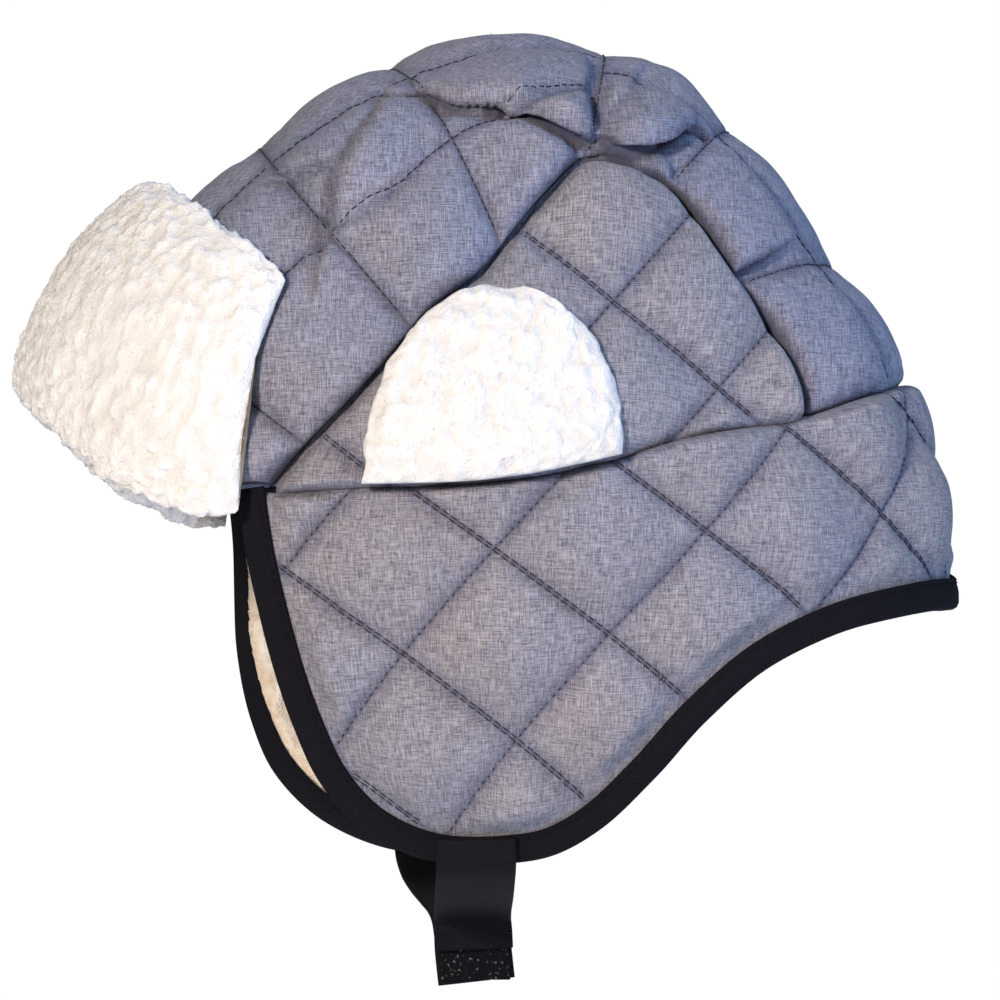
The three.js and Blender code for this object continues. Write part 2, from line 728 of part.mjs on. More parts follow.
function strap(extra) {
  const rows = STRAP_PATH.map((row) => new THREE.Vector3(row.x, row.y, row.z));
  const last = rows.at(-1);
  if (extra > 0) rows.push(last.clone().add(new THREE.Vector3(0, 0.9, -extra)));
  const path = new THREE.CatmullRomCurve3(rows);
  const outline = [[1, 1], [1, -1], [-1, -1], [-1, 1]].map(([x, y]) => new THREE.Vector2(x, y));
  const loops = [];
  for (let i = 0; i <= STRAP_STEPS; i += 1) {
    const share = i / STRAP_STEPS;
    const middle = path.getPointAt(share);
    const tangent = path.getTangentAt(share);
    const width = new THREE.Vector3(0, 1, 0).addScaledVector(tangent, -tangent.y).normalize();
    const face = tangent.clone().cross(width).normalize();
    loops.push(outline.map(({ x, y }) => middle.clone()
      .addScaledVector(width, (x * STRAP_WIDTH) / 2)
      .addScaledVector(face, (y * STRAP_THICKNESS) / 2)));
  }
  return loftGeometry(loops, outline);
}

function hookTape() {
  const geometry = new THREE.BoxGeometry(TAPE_THICKNESS, TAPE_WIDTH, TAPE_TOP - TAPE_BOTTOM);
  return geometry.translate(0, -10.2, (TAPE_TOP + TAPE_BOTTOM) / 2);
}

// Assembly

const side = sidePanel();
const patch = earPatch();

const hat = new THREE.Group();
hat.add(
  mesh('crown_center_panel', centerPanel(), HEATHER_GREY, 0.85),
  mesh('side_panel_left', side, HEATHER_GREY, 0.85),
  mesh('side_panel_right', mirrored(side), HEATHER_GREY, 0.85),
  mesh('ear_flap_band', earFlapBand(), HEATHER_GREY, 0.85),
  mesh('flap_lining', flapLining(), SHERPA_CREAM, 1),
  mesh('edge_binding', edgeBinding(), NAVY_BLACK, 0.8),
  mesh('brow_flap', browFlap(), SHERPA_WHITE, 1),
  mesh('brow_tape', browTape(), NAVY_BLACK, 0.8),
  mesh('ear_patch_left', patch, SHERPA_WHITE, 1),
  mesh('ear_patch_right', mirrored(patch), SHERPA_WHITE, 1),
  mesh('chin_strap_left', strap(0), NAVY_BLACK, 0.75),
  mesh('chin_strap_right', mirrored(strap(RIGHT_STRAP_EXTRA)), NAVY_BLACK, 0.75),
  mesh('hook_tape', hookTape(), NAVY_BLACK, 0.9),
);
hat.position.z = -SEAT_HEIGHT;

export default hat;
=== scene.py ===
import math

import bmesh
import bpy
import numpy as np
from mathutils import Matrix, Vector, noise
from mathutils.bvhtree import BVHTree


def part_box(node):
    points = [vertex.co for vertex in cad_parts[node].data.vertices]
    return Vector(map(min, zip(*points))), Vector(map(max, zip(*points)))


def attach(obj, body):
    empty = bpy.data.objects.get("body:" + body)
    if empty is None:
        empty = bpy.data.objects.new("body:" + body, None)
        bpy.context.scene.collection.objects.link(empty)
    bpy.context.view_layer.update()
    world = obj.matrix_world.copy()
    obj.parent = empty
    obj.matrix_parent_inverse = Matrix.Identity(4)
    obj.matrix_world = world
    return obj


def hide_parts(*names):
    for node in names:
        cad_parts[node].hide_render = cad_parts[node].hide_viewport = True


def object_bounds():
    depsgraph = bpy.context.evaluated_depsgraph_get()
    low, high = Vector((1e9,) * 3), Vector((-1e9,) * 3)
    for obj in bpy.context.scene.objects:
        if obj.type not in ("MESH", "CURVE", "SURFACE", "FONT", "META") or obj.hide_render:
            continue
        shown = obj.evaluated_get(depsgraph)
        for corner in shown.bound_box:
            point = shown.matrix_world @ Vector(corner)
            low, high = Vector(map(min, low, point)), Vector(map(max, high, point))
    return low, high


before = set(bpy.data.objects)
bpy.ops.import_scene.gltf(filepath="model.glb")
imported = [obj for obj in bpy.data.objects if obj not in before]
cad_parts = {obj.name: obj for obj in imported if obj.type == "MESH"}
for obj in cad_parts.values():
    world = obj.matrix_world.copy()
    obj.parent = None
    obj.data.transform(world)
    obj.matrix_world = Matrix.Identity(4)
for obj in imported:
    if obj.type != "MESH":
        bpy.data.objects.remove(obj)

CAD_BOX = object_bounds()

bl_info = {
    "name": "Quilted Earflap Hat",
    "version": (1, 0, 0),
    "blender": (4, 5, 0),
    "location": "View3D > Sidebar > Earflap Hat",
    "description": "Quilted panels, sherpa, bound flaps and a webbing chin strap on a head-shaped surface",
    "category": "Object",
}

# Lengths in the tables are in millimetres, before the seat on the head becomes the origin
MM = 0.001
SEAT_HEIGHT = 5.3

# The sewn surface's sections are a little squarer than ellipses; the padding's wall lies inside it
SQUARENESS = 2.25
WALL = 4.0
EDGE_THICKNESS = 5.1
LINING_DEPTH = 6.0
TOUCH_GAP = 0.4
SEAM_HALF_GAP = -0.15
TEMPLE_ANGLE = 41.6

# Sections of the sewn surface: height, front and back reach on the middle line, half width
SECTIONS = (
    dict(z=9.5, front=-5, back=-5, half=0),
    dict(z=8, front=-20, back=9, half=14),
    dict(z=5, front=-27, back=25, half=26),
    dict(z=0, front=-37, back=38, half=37),
    dict(z=-8, front=-51, back=48, half=48.5),
    dict(z=-16, front=-62.5, back=56, half=56.5),
    dict(z=-24, front=-73, back=63, half=62.5),
    dict(z=-34, front=-83, back=70, half=68),
    dict(z=-46, front=-92.5, back=78.5, half=73),
    dict(z=-60, front=-101, back=89, half=77.5),
    dict(z=-77, front=-108, back=99.5, half=81),
    dict(z=-95, front=-110.5, back=106.5, half=83.5),
    dict(z=-115, front=-111, back=110, half=84),
    dict(z=-134, front=-111, back=113.5, half=82.5),
    dict(z=-155, front=-111, back=114, half=78.5),
    dict(z=-175, front=-110, back=114, half=72),
    dict(z=-207, front=-108, back=113, half=58),
)

# Arched seam round the left side panel
ARCH = (
    dict(y=-68.7, z=-106.5),
    dict(y=-59.5, z=-95.3),
    dict(y=-49, z=-84),
    dict(y=-39.9, z=-73.5),
    dict(y=-34, z=-65.5),
    dict(y=-26.4, z=-59.2),
    dict(y=-17.8, z=-53),
    dict(y=-10.3, z=-44.2),
    dict(y=0.8, z=-32.2),
    dict(y=12, z=-22.4),
    dict(y=20, z=-22.6),
    dict(y=28.6, z=-25.6),
    dict(y=36.2, z=-30.6),
    dict(y=43.2, z=-40.5),
    dict(y=50, z=-53),
    dict(y=57.9, z=-62.8),
    dict(y=63.1, z=-71.9),
    dict(y=67.2, z=-82.5),
    dict(y=68.3, z=-88.2),
)

# Crown hem, by the angle round the head from the middle of the brow
HEM = (
    dict(angle=-15, z=-86),
    dict(angle=0, z=-79.5),
    dict(angle=15, z=-86),
    dict(angle=30, z=-101),
    dict(angle=41.6, z=-108),
    dict(angle=60, z=-107.6),
    dict(angle=79, z=-106.6),
    dict(angle=98.6, z=-101.6),
    dict(angle=115.4, z=-94.6),
    dict(angle=134, z=-89.6),
    dict(angle=148.7, z=-83.6),
    dict(angle=163, z=-79.8),
    dict(angle=180, z=-78.5),
    dict(angle=197, z=-79.8),
)

# Lower edge of the ear-flap band: down the front, under the ear, up to the nape
EDGE = (
    dict(angle=41.6, z=-110.5),
    dict(angle=42.7, z=-125.5),
    dict(angle=44, z=-139),
    dict(angle=45.2, z=-151),
    dict(angle=46.8, z=-166),
    dict(angle=49, z=-180),
    dict(angle=53.5, z=-191),
    dict(angle=60, z=-197.2),
    dict(angle=68, z=-200.2),
    dict(angle=82, z=-200.4),
    dict(angle=93, z=-198.4),
    dict(angle=102.7, z=-192),
    dict(angle=111.9, z=-179),
    dict(angle=119, z=-165),
    dict(angle=127.5, z=-152),
    dict(angle=138, z=-143.2),
    dict(angle=148, z=-139),
    dict(angle=160, z=-136.5),
    dict(angle=180, z=-134.5),
)

# Quilting lines across the centre panel, by their distance along the arched seam and along the middle
CROSS_LINES = (
    dict(arch=0, middle=0, cells=3),
    dict(arch=14, middle=38, cells=3),
    dict(arch=54, middle=76, cells=3),
    dict(arch=86, middle=114, cells=3),
    dict(arch=123, middle=172, cells=2),
    dict(arch=147, middle=212, cells=2),
    dict(arch=179, middle=258, cells=2),
    dict(arch=217, middle=290, cells=2),
)

# Quilting squares of the band and the side panels: one crossing, the two steps between crossings and the side
BAND_QUILT = dict(at=(119.9, -148.8), right=(29.5, -21.1), up=(24.0, 25.9), size=36.0)
SIDE_QUILT = dict(at=(16.9, -61.2), right=(26.6, -21.3), up=(24.2, 26.2), size=34.5)

# Puckers across the quilting seams: distance from one to the next, and height
PUCKER_PITCH = 7.5
PUCKER_HEIGHT = 0.32
CROWN_PUCKER_HEIGHT = 0.3

# Folds of the gathered crown on the side view, point by point: depth of the groove, height of the upper side
# over the lower one, and how far it laps over
FOLDS = (
    dict(fold="brow", y=-37.7, z=-9.5, depth=2.4, step=0.8, lap=0.6),
    dict(fold="brow", y=-30.1, z=-8.2, depth=4.8, step=2.6, lap=2.2),
    dict(fold="brow", y=-27.2, z=-7.2, depth=5.1, step=2.9, lap=2.6),
    dict(fold="brow", y=-24, z=-8.7, depth=5.1, step=3.2, lap=2.6),
    dict(fold="brow", y=-20, z=-11.2, depth=4.8, step=3.5, lap=3.2),
    dict(fold="brow", y=-14, z=-11.8, depth=4.2, step=3.5, lap=3.5),
    dict(fold="brow", y=-9.2, z=-11.7, depth=5, step=4, lap=4),
    dict(fold="brow", y=-5.8, z=-12.3, depth=8, step=5.8, lap=5.8),
    dict(fold="brow", y=-2.7, z=-13.3, depth=6.4, step=4.6, lap=4.8),
    dict(fold="brow", y=0.1, z=-14.8, depth=7.2, step=5.4, lap=5.6),
    dict(fold="brow", y=5.5, z=-17.4, depth=8.2, step=5.8, lap=5.8),
    dict(fold="brow", y=9.8, z=-18.6, depth=7.4, step=4.6, lap=4.4),
    dict(fold="brow", y=14.5, z=-19.4, depth=3.4, step=1.6, lap=1.0),
    dict(fold="crest", y=17.7, z=1.6, depth=2.2, step=0, lap=0),
    dict(fold="crest", y=17.0, z=-3.9, depth=3.2, step=0, lap=0),
    dict(fold="crest", y=16.3, z=-10.2, depth=5.0, step=0, lap=0),
    dict(fold="crest", y=16.6, z=-16, depth=5.6, step=0, lap=0),
    dict(fold="pleat", y=36.0, z=1.5, depth=1.2, step=0, lap=0),
    dict(fold="pleat", y=27.7, z=-6.3, depth=3.4, step=0, lap=0),
    dict(fold="pleat", y=20.6, z=-13.5, depth=2.8, step=0, lap=0),
    dict(fold="gather", y=17.4, z=-19.2, depth=4.6, step=1.9, lap=1.1),
    dict(fold="gather", y=20.8, z=-21, depth=6.2, step=4.6, lap=3.7),
    dict(fold="gather", y=25.7, z=-21.4, depth=6.5, step=4.9, lap=5),
    dict(fold="gather", y=29.9, z=-21, depth=6.5, step=4.3, lap=4.4),
    dict(fold="gather", y=33.8, z=-19.4, depth=5.9, step=3.7, lap=3.5),
    dict(fold="gather", y=37, z=-17.7, depth=5, step=2.8, lap=2.8),
    dict(fold="gather", y=40, z=-15.8, depth=4.5, step=2.2, lap=2.2),
    dict(fold="gather", y=44.5, z=-17.2, depth=2.4, step=1.1, lap=0.9),
    dict(fold="tuck", y=36.6, z=-18.6, depth=3.5, step=0, lap=0),
    dict(fold="tuck", y=35.4, z=-23, depth=4.1, step=0, lap=0),
    dict(fold="tuck", y=36.8, z=-27, depth=3.2, step=0, lap=0),
    dict(fold="crease", y=49.5, z=-53, depth=4.3, step=1.9, lap=1.3),
    dict(fold="crease", y=55.5, z=-50.3, depth=3.8, step=2.2, lap=1.3),
    dict(fold="crease", y=66, z=-44.8, depth=1.1, step=0.7, lap=0.2),
    dict(fold="side", y=-36.2, z=-6.5, depth=2.4, step=1, lap=0.6),
    dict(fold="side", y=-37.6, z=-14.6, depth=5.6, step=4.2, lap=2.6),
    dict(fold="side", y=-43, z=-22.5, depth=6.4, step=5, lap=3),
    dict(fold="side", y=-48, z=-30, depth=6.2, step=4.6, lap=2.8),
    dict(fold="side", y=-50.8, z=-38.7, depth=5.2, step=3.6, lap=2),
    dict(fold="side", y=-54.6, z=-49.6, depth=3.6, step=2.2, lap=1.2),
    dict(fold="side", y=-56, z=-60, depth=1.2, step=0.6, lap=0.2),
    dict(fold="front", y=-66, z=-28.8, depth=1.6, step=0.8, lap=0.4),
    dict(fold="front", y=-60, z=-28.3, depth=3.6, step=1.8, lap=1.2),
    dict(fold="front", y=-54, z=-27.2, depth=4, step=2, lap=1.4),
    dict(fold="front", y=-49.5, z=-26.4, depth=2.4, step=1, lap=0.6),
)

# Shape of every fold: half width of the groove, how far the raised side and the lap ease out, depth from
# which the pocket gets painted shade, share of the lap that it reaches under, and upright share of the
# movement
FOLD_WIDTH = 2.6
FOLD_REACH = 10.0
FOLD_GRIP = 5.0
FOLD_SHADE_DEPTH = 4.6
POCKET = 0.62
LEVEL = 0.12

# Brow flap by its share from the middle to an end: height of its head on the sewn surface, drop of its foot
# below the hem, and the middle of its thickness over the sewn surface
FLAP_SECTIONS = (
    dict(share=-0.4, head=-38.5, drop=6, over=15.5),
    dict(share=0, head=-36.5, drop=5.5, over=15.5),
    dict(share=0.4, head=-38.5, drop=6, over=15.5),
    dict(share=0.7, head=-44.5, drop=7, over=13.3),
    dict(share=0.9, head=-52, drop=7.6, over=11),
    dict(share=1, head=-56.5, drop=8, over=9.6),
)

# How far the right flap's front hangs back from its mirrored place, by height
SWING = (
    dict(z=-207, back=-4.2),
    dict(z=-176, back=-3.6),
    dict(z=-148, back=0),
    dict(z=-118, back=5.4),
    dict(z=-95, back=5.2),
    dict(z=-70, back=3),
    dict(z=-45, back=0),
)

# Middle line of the left strap's webbing from the flap to the joined ends under the chin
STRAP_PATH = (
    dict(x=66.3, y=-16.2, z=-194.8),
    dict(x=63.8, y=-16, z=-201.5),
    dict(x=54, y=-15.4, z=-206.6),
    dict(x=38, y=-14.2, z=-210.6),
    dict(x=20, y=-12.8, z=-213.6),
    dict(x=8, y=-11.8, z=-215.8),
    dict(x=3.2, y=-11.3, z=-218),
    dict(x=2.1, y=-10.9, z=-221),
    dict(x=2, y=-10.7, z=-225),
)

# How much longer the right strap's end hangs down
RIGHT_STRAP_EXTRA = 8.5

# Search for the sewn surface from inside: a point in the head, a reach past the surface, and halvings
HEART = np.array([0.0, 0.0, -95.0])
FAR = 260.0
HALVINGS = 34
Z_TOP = SECTIONS[0]["z"]


def column(table, name):
    return np.array([row[name] for row in table], float)


def smooth(value):
    t = np.clip(value, 0, 1)
    return t * t * (3 - 2 * t)


def mix(a, b, share):
    return a + (b - a) * share


def curve_through(xs, ys):
    """A smooth curve through table values, as a function of one array."""
    xs = np.asarray(xs, float)
    ys = np.asarray(ys, float)
    slopes = np.gradient(ys, xs, axis=0)

    def at(value):
        x = np.clip(np.asarray(value, float), xs[0], xs[-1])
        i = np.clip(np.searchsorted(xs, x, side="right") - 1, 0, len(xs) - 2)
        h = xs[i + 1] - xs[i]
        t = (x - xs[i]) / h
        if ys.ndim > 1:
            h = h[..., None]
            t = t[..., None]
        low = (2 * t**3 - 3 * t**2 + 1) * ys[i] + (t**3 - 2 * t**2 + t) * h * slopes[i]
        high = (3 * t**2 - 2 * t**3) * ys[i + 1] + (t**3 - t**2) * h * slopes[i + 1]
        return low + high

    return at


DEPTHS = np.sqrt(Z_TOP - column(SECTIONS, "z"))
front_at = curve_through(DEPTHS, column(SECTIONS, "front"))
back_at = curve_through(DEPTHS, column(SECTIONS, "back"))
half_at = curve_through(DEPTHS, column(SECTIONS, "half"))
hem_at = curve_through(column(HEM, "angle"), column(HEM, "z"))


def outside(points):
    """Negative inside the sewn surface, zero on it."""
    depth = np.sqrt(np.maximum(Z_TOP - points[:, 2], 1e-4))
    front = front_at(depth)
    back = back_at(depth)
    across = np.abs(points[:, 0]) / np.maximum(half_at(depth), 1e-3)
    along = np.abs(points[:, 1] - (front + back) / 2) / np.maximum((back - front) / 2, 1e-3)
    return (across**SQUARENESS + along**SQUARENESS) ** (1 / SQUARENESS) - 1


def cast(start, direction):
    """The points of the sewn surface that are seen from inside in these directions."""
    direction = direction / np.linalg.norm(direction, axis=1, keepdims=True)
    near = np.zeros(len(direction))
    far = np.full(len(direction), FAR)
    for _ in range(HALVINGS):
        middle = (near + far) / 2
        points = start + direction * middle[:, None]
        inside = (points[:, 2] < Z_TOP) & (outside(points) < 0)
        near = np.where(inside, middle, near)
        far = np.where(inside, far, middle)
    return start + direction * near[:, None]


def towards(direction):
    return cast(HEART, direction)


def at_angle(degrees, z):
    degrees, z = np.broadcast_arrays(np.asarray(degrees, float), np.asarray(z, float))
    angle = np.radians(degrees)
    flat = np.zeros_like(angle)
    start = np.stack([flat, flat, z], 1)
    return cast(start, np.stack([np.sin(angle), -np.cos(angle), flat], 1))


def on_side(y, z):
    y, z = np.broadcast_arrays(np.asarray(y, float), np.asarray(z, float))
    start = np.stack([np.zeros_like(y), y, z], 1)
    return cast(start, np.tile([1.0, 0.0, 0.0], (len(y), 1)))


def normal_at(points):
    step = 0.4
    slopes = []
    for axis in np.eye(3):
        slopes.append(outside(points + axis * step) - outside(points - axis * step))
    normal = np.stack(slopes, 1)
    return normal / np.linalg.norm(normal, axis=1, keepdims=True)


def lift(points, height):
    return points + normal_at(points) * np.asarray(height, float).reshape(-1, 1)


def unit(vectors):
    return vectors / np.maximum(np.linalg.norm(vectors, axis=-1, keepdims=True), 1e-9)


def lengths_along(points):
    """Distance of each point from the first one, along the line."""
    return np.concatenate([[0], np.cumsum(np.linalg.norm(np.diff(points, axis=0), axis=1))])


def on_left(points):
    """Points folded over to the left half, where the tables are."""
    return np.column_stack([np.abs(points[:, 0]), points[:, 1:]])


def on_own_side(points, side):
    """Points of the left half, mirrored where side is -1."""
    return points * np.stack([side, 0 * side + 1, 0 * side + 1], 1)


def between(start, end, share):
    """A share of the way over the surface from points of it to others."""
    a = unit(start - HEART)
    b = unit(end - HEART)
    turn = np.arccos(np.clip((a * b).sum(1), -1, 1))[:, None]
    turn = np.maximum(turn, 1e-6)
    share = np.asarray(share, float).reshape(-1, 1)
    return towards(np.sin((1 - share) * turn) * a + np.sin(share * turn) * b)


def angle_of(points):
    return np.degrees(np.arctan2(np.abs(points[:, 0]), -points[:, 1]))


class Path:
    """A smooth curve through points, read by share of its length."""

    def __init__(self, points, samples=500):
        points = np.asarray(points, float)
        chords = np.sqrt(np.linalg.norm(np.diff(points, axis=0), axis=1))
        knots = np.concatenate([[0], np.cumsum(chords)])
        self.points = curve_through(knots, points)(np.linspace(0, knots[-1], samples))
        self.lengths = lengths_along(self.points)
        self.length = self.lengths[-1]

    def at(self, share):
        where = np.clip(np.asarray(share, float), 0, 1) * self.length
        return np.stack([np.interp(where, self.lengths, self.points[:, k]) for k in range(3)], -1)

    def tangent(self, share):
        share = np.asarray(share, float)
        step = 0.004
        return unit(self.at(share + step) - self.at(share - step))


arch_path = Path(on_side(column(ARCH, "y"), column(ARCH, "z")))
edge_path = Path(at_angle(column(EDGE, "angle"), column(EDGE, "z")))


def middle_path():
    ends = at_angle([0.0, 180.0], hem_at(np.array([0.0, 180.0]))) - HEART
    turns = np.arctan2(ends[:, 2], -ends[:, 1])
    turn = np.linspace(turns[0], turns[1], 61)
    return Path(towards(np.stack([0 * turn, -np.cos(turn), np.sin(turn)], 1)))


crown_path = middle_path()
MIDDLE_TOTAL = CROSS_LINES[-1]["middle"]
ARCH_TOTAL = CROSS_LINES[-1]["arch"]


# Quilting


def pillow(p, q):
    return np.abs(np.sin(np.pi * p) * np.sin(np.pi * q))


def puffed(rise, sizes):
    """A filled square: steep at its seams and still rounding over towards its middle."""
    return 0.25 * rise**sizes.puff_softness + 0.75 * rise**0.85


def squares(quilt, a, z):
    """Place of points in a field of quilting squares, in squares."""
    ax, az = quilt["right"]
    bx, bz = quilt["up"]
    size = ax * bz - az * bx
    da = a - quilt["at"][0]
    dz = z - quilt["at"][1]
    return (da * bz - dz * bx) / size, (ax * dz - az * da) / size


# Girth of the surface at the ears, from the middle of the brow
GIRTH_ANGLES = np.arange(0, 182, 2.0)
GIRTH_POINTS = at_angle(GIRTH_ANGLES, -115.0)
GIRTH_LENGTHS = lengths_along(GIRTH_POINTS)


def girth_at(degrees):
    return np.interp(degrees, GIRTH_ANGLES, GIRTH_LENGTHS)


def angle_at_girth(length):
    return np.interp(length, GIRTH_LENGTHS, GIRTH_ANGLES)


def fold_samples(name, count=60):
    """Points, directions and sizes along one fold."""
    rows = [row for row in FOLDS if row["fold"] == name]
    corners = on_side(column(rows, "y"), column(rows, "z"))
    path = Path(corners, 120)
    share = np.linspace(0, 1, count)
    places = [np.argmin(((path.points - corner) ** 2).sum(1)) for corner in corners]
    knots = path.lengths[places] / path.length
    sizes = {part: np.interp(share, knots, column(rows, part)) for part in ("depth", "step", "lap")}
    return path.at(share), path.tangent(share), path.length, sizes


def fold_shape(points):
    """How far the gathers move the padded surface: out and in on the level, and down over each other.

    The second result is the distance to a deep pocket's painted shade, which darkens the cloth's colour.
    """
    slide = np.zeros_like(points)
    dark = np.full(len(points), 99.0)
    folded = on_left(points)
    for name in dict.fromkeys(row["fold"] for row in FOLDS):
        line, tangents, length, sizes = fold_samples(name)
        close = np.linalg.norm(folded - line.mean(0), axis=1) < length / 2 + 4 * FOLD_REACH
        here = folded[close]
        normals = normal_at(here)
        away = ((here[:, None, :] - line[None, :, :]) ** 2).sum(2)
        nearest_sample = away.argmin(1)
        off = here - line[nearest_sample]
        along = tangents[nearest_sample]
        upward = unit(np.cross(normals, along))
        over = (off * upward).sum(1)
        past = np.abs((off * along).sum(1))
        distance = np.sqrt(away.min(1))
        fade = np.exp(-((past / 3.0) ** 2))
        depth, step, lap = (sizes[part][nearest_sample] for part in ("depth", "step", "lap"))
        apart = np.where(over > 0, distance, np.maximum(distance - POCKET * lap, 0))
        groove = np.exp(-((apart / FOLD_WIDTH) ** 2))
        rise = smooth((over + 0.1) / 1.2)
        nose = smooth((over - 0.2) / (1.0 + step))
        ease = np.exp(-np.maximum(over - 1.0 - step, 0) / FOLD_REACH)
        raised = (depth * groove * rise * (step > 0) + step * nose * ease) * fade
        level = unit(normals * np.array([1.0, 1.0, LEVEL]))
        slide[close] += level * (raised - depth * groove)[:, None]
        grip = lap * rise * np.exp(-np.maximum(over, 0) / FOLD_GRIP) * fade
        slide[close] -= upward * grip[:, None]
        # Painted shade: deep pockets get a short distance here, so the cloth's colour paints them dark
        dark[close] = np.minimum(dark[close], apart + np.maximum(FOLD_SHADE_DEPTH - depth, 0) + 4 * (1 - fade))
    slide[:, 0] *= np.where(points[:, 0] < 0, -1.0, 1.0)
    return slide, dark


def ripple(along, across, pitch, seed):
    """Small puckers that run across a seam."""
    wave = np.sin(along * 2 * np.pi / pitch + seed + 1.7 * np.sin(along / 23 + seed))
    wave += 0.6 * np.sin(along * 2 * np.pi / (pitch * 0.61) + 2.1 * seed + np.sin(along / 11))
    return wave * np.exp(-across / 4.5) * (1 - np.exp(-across / 1.0))


swing_at = curve_through(column(SWING, "z"), column(SWING, "back"))


def settled(points):
    """The hat as it lies: the right flap's front hangs a little out of its mirrored place."""
    side = smooth(-points[:, 0] / 45)
    front = smooth((-25 - points[:, 1]) / 45)
    moved = points.copy()
    moved[:, 1] += swing_at(points[:, 2]) * side * front
    return moved


def seated(points):
    """The hat as it lies, in metres from its seat on the head."""
    return (settled(points) - [0, 0, SEAT_HEIGHT]) * MM


def softness(points, size, height, seed):
    """Slow unevenness of the filling."""
    offset = Vector((seed * 3.1, seed * 1.7, seed * 0.9))
    return height * np.array([noise.noise(Vector(point) / size + offset) for point in points])


def square_height(quilt, a, z, sizes, seed):
    """Height in a field of quilting squares and distance to its nearest seam."""
    p, q = squares(quilt, a, z)
    size = quilt["size"]
    dp = np.abs(p - np.round(p)) * size
    dq = np.abs(q - np.round(q)) * size
    height = sizes.puff / MM * puffed(pillow(p, q), sizes)
    height += PUCKER_HEIGHT * ripple(q * size, dp, PUCKER_PITCH, seed)
    height += PUCKER_HEIGHT * ripple(p * size, dq, PUCKER_PITCH, seed + 1.3)
    return height, np.minimum(dp, dq)


# Meshes


def share_grid(columns, rows, thick):
    """A grid with its shares in x and y, closed to a thin body where thick; the second layer has z 1."""
    mesh = bmesh.new()
    bmesh.ops.create_grid(mesh, x_segments=columns, y_segments=rows, size=0.5)
    bmesh.ops.translate(mesh, verts=mesh.verts, vec=(0.5, 0.5, 0))
    if thick:
        faces = mesh.faces[:]
        made = bmesh.ops.extrude_face_region(mesh, geom=faces, use_keep_orig=True)
        fresh = [item for item in made["geom"] if isinstance(item, bmesh.types.BMVert)]
        bmesh.ops.translate(mesh, verts=fresh, vec=(0, 0, 1))
        bmesh.ops.reverse_faces(mesh, faces=faces)
    return mesh


def new_piece(name, mesh_data, material, replaced):
    piece = bpy.data.objects.new(name, mesh_data)
    bpy.context.collection.objects.link(piece)
    mesh_data.materials.append(material)
    mesh_data.shade_smooth()
    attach(piece, "root")
    if replaced:
        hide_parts(*replaced)


def placed_mesh(name, mesh, place):
    """Turns a grid of shares into a mesh: place(u, v, outer) gives points, uv and seam distance."""
    data = bpy.data.meshes.new(name)
    mesh.to_mesh(data)
    mesh.free()
    count = len(data.vertices)
    shares = np.empty(count * 3)
    data.vertices.foreach_get("co", shares)
    shares = shares.reshape(-1, 3)
    points, flat, seam = place(shares[:, 0], shares[:, 1], shares[:, 2] > 0.5)
    if not (np.isfinite(points).all() and np.isfinite(flat).all()):
        raise ValueError(name + " has a point without a place")
    facing = np.abs(normal_at(on_left(points))[:, 0])
    points = seated(points)
    data.vertices.foreach_set("co", points.ravel())
    corners = np.empty(len(data.loops), int)
    data.loops.foreach_get("vertex_index", corners)
    layer = data.uv_layers.new(name="cloth")
    layer.data.foreach_set("uv", (flat[corners] * MM).ravel())
    # The seam attribute holds seam and fold-pocket distance on the cloth and curl height on the sherpa; the
    # materials paint shade from it
    for label, values in (("seam", seam * MM), ("facing", facing)):
        attribute = data.attributes.new(label, "FLOAT", "POINT")
        attribute.data.foreach_set("value", values)
    data.update()
    recalculated = bmesh.new()
    recalculated.from_mesh(data)
    bmesh.ops.recalc_face_normals(recalculated, faces=recalculated.faces)
    recalculated.to_mesh(data)
    recalculated.free()
    return data


def turned(a, b, degrees):
    cosine = math.cos(math.radians(degrees))
    sine = math.sin(math.radians(degrees))
    return np.stack([a * cosine - b * sine, a * sine + b * cosine], 1)


def crown_rows(middle_share):
    """Arch share, place in the square and squares across, for rows of the centre panel."""
    middles = column(CROSS_LINES, "middle")
    arches = column(CROSS_LINES, "arch")
    cells = column(CROSS_LINES, "cells")
    where = np.clip(middle_share, 0, 1) * MIDDLE_TOTAL
    line = np.clip(np.searchsorted(middles, where, side="right") - 1, 0, len(middles) - 2)
    place = (where - middles[line]) / (middles[line + 1] - middles[line])
    arch = mix(arches[line], arches[line + 1], place) / ARCH_TOTAL
    return arch, place, cells[line], middles[line + 1] - middles[line]


def crown_surface(share, middle_share):
    """Points of the centre panel by share from the seam to the middle, and share along the middle."""
    arch, place, cells, span = crown_rows(middle_share)
    seam = arch_path.at(arch)
    middle = crown_path.at(middle_share)
    width = np.linalg.norm(seam - middle, axis=1) * 1.08
    inset = SEAM_HALF_GAP / width
    share = mix(inset, 1, share)
    points = between(seam, middle, share)
    to_hem = np.minimum(middle_share, 1 - middle_share)
    pull = np.clip(1 - to_hem / 0.12, 0, 1) * np.minimum(share * 6, 1)
    angle = angle_of(points)
    front = middle_share < 0.5
    end = np.where(front, 0.0, 1.0)
    end_z = between(arch_path.at(end), crown_path.at(end), share)[:, 2]
    shift = (hem_at(angle) + SEAM_HALF_GAP - end_z) * pull
    moved = at_angle(angle, points[:, 2] + shift)
    points = np.where((pull > 0)[:, None], moved, points)
    return points, share, place, cells, span, width


# Share of the full puff in the middle of the crown, what its sides add, and half the width where it is full
CROWN_PUFF = dict(middle=0.45, sides=0.45, width=62)

# Extra roll of the centre panel over the front half of the arched seam
FRONT_ROLL = dict(arch=0.3, height=2.6, reach=5)

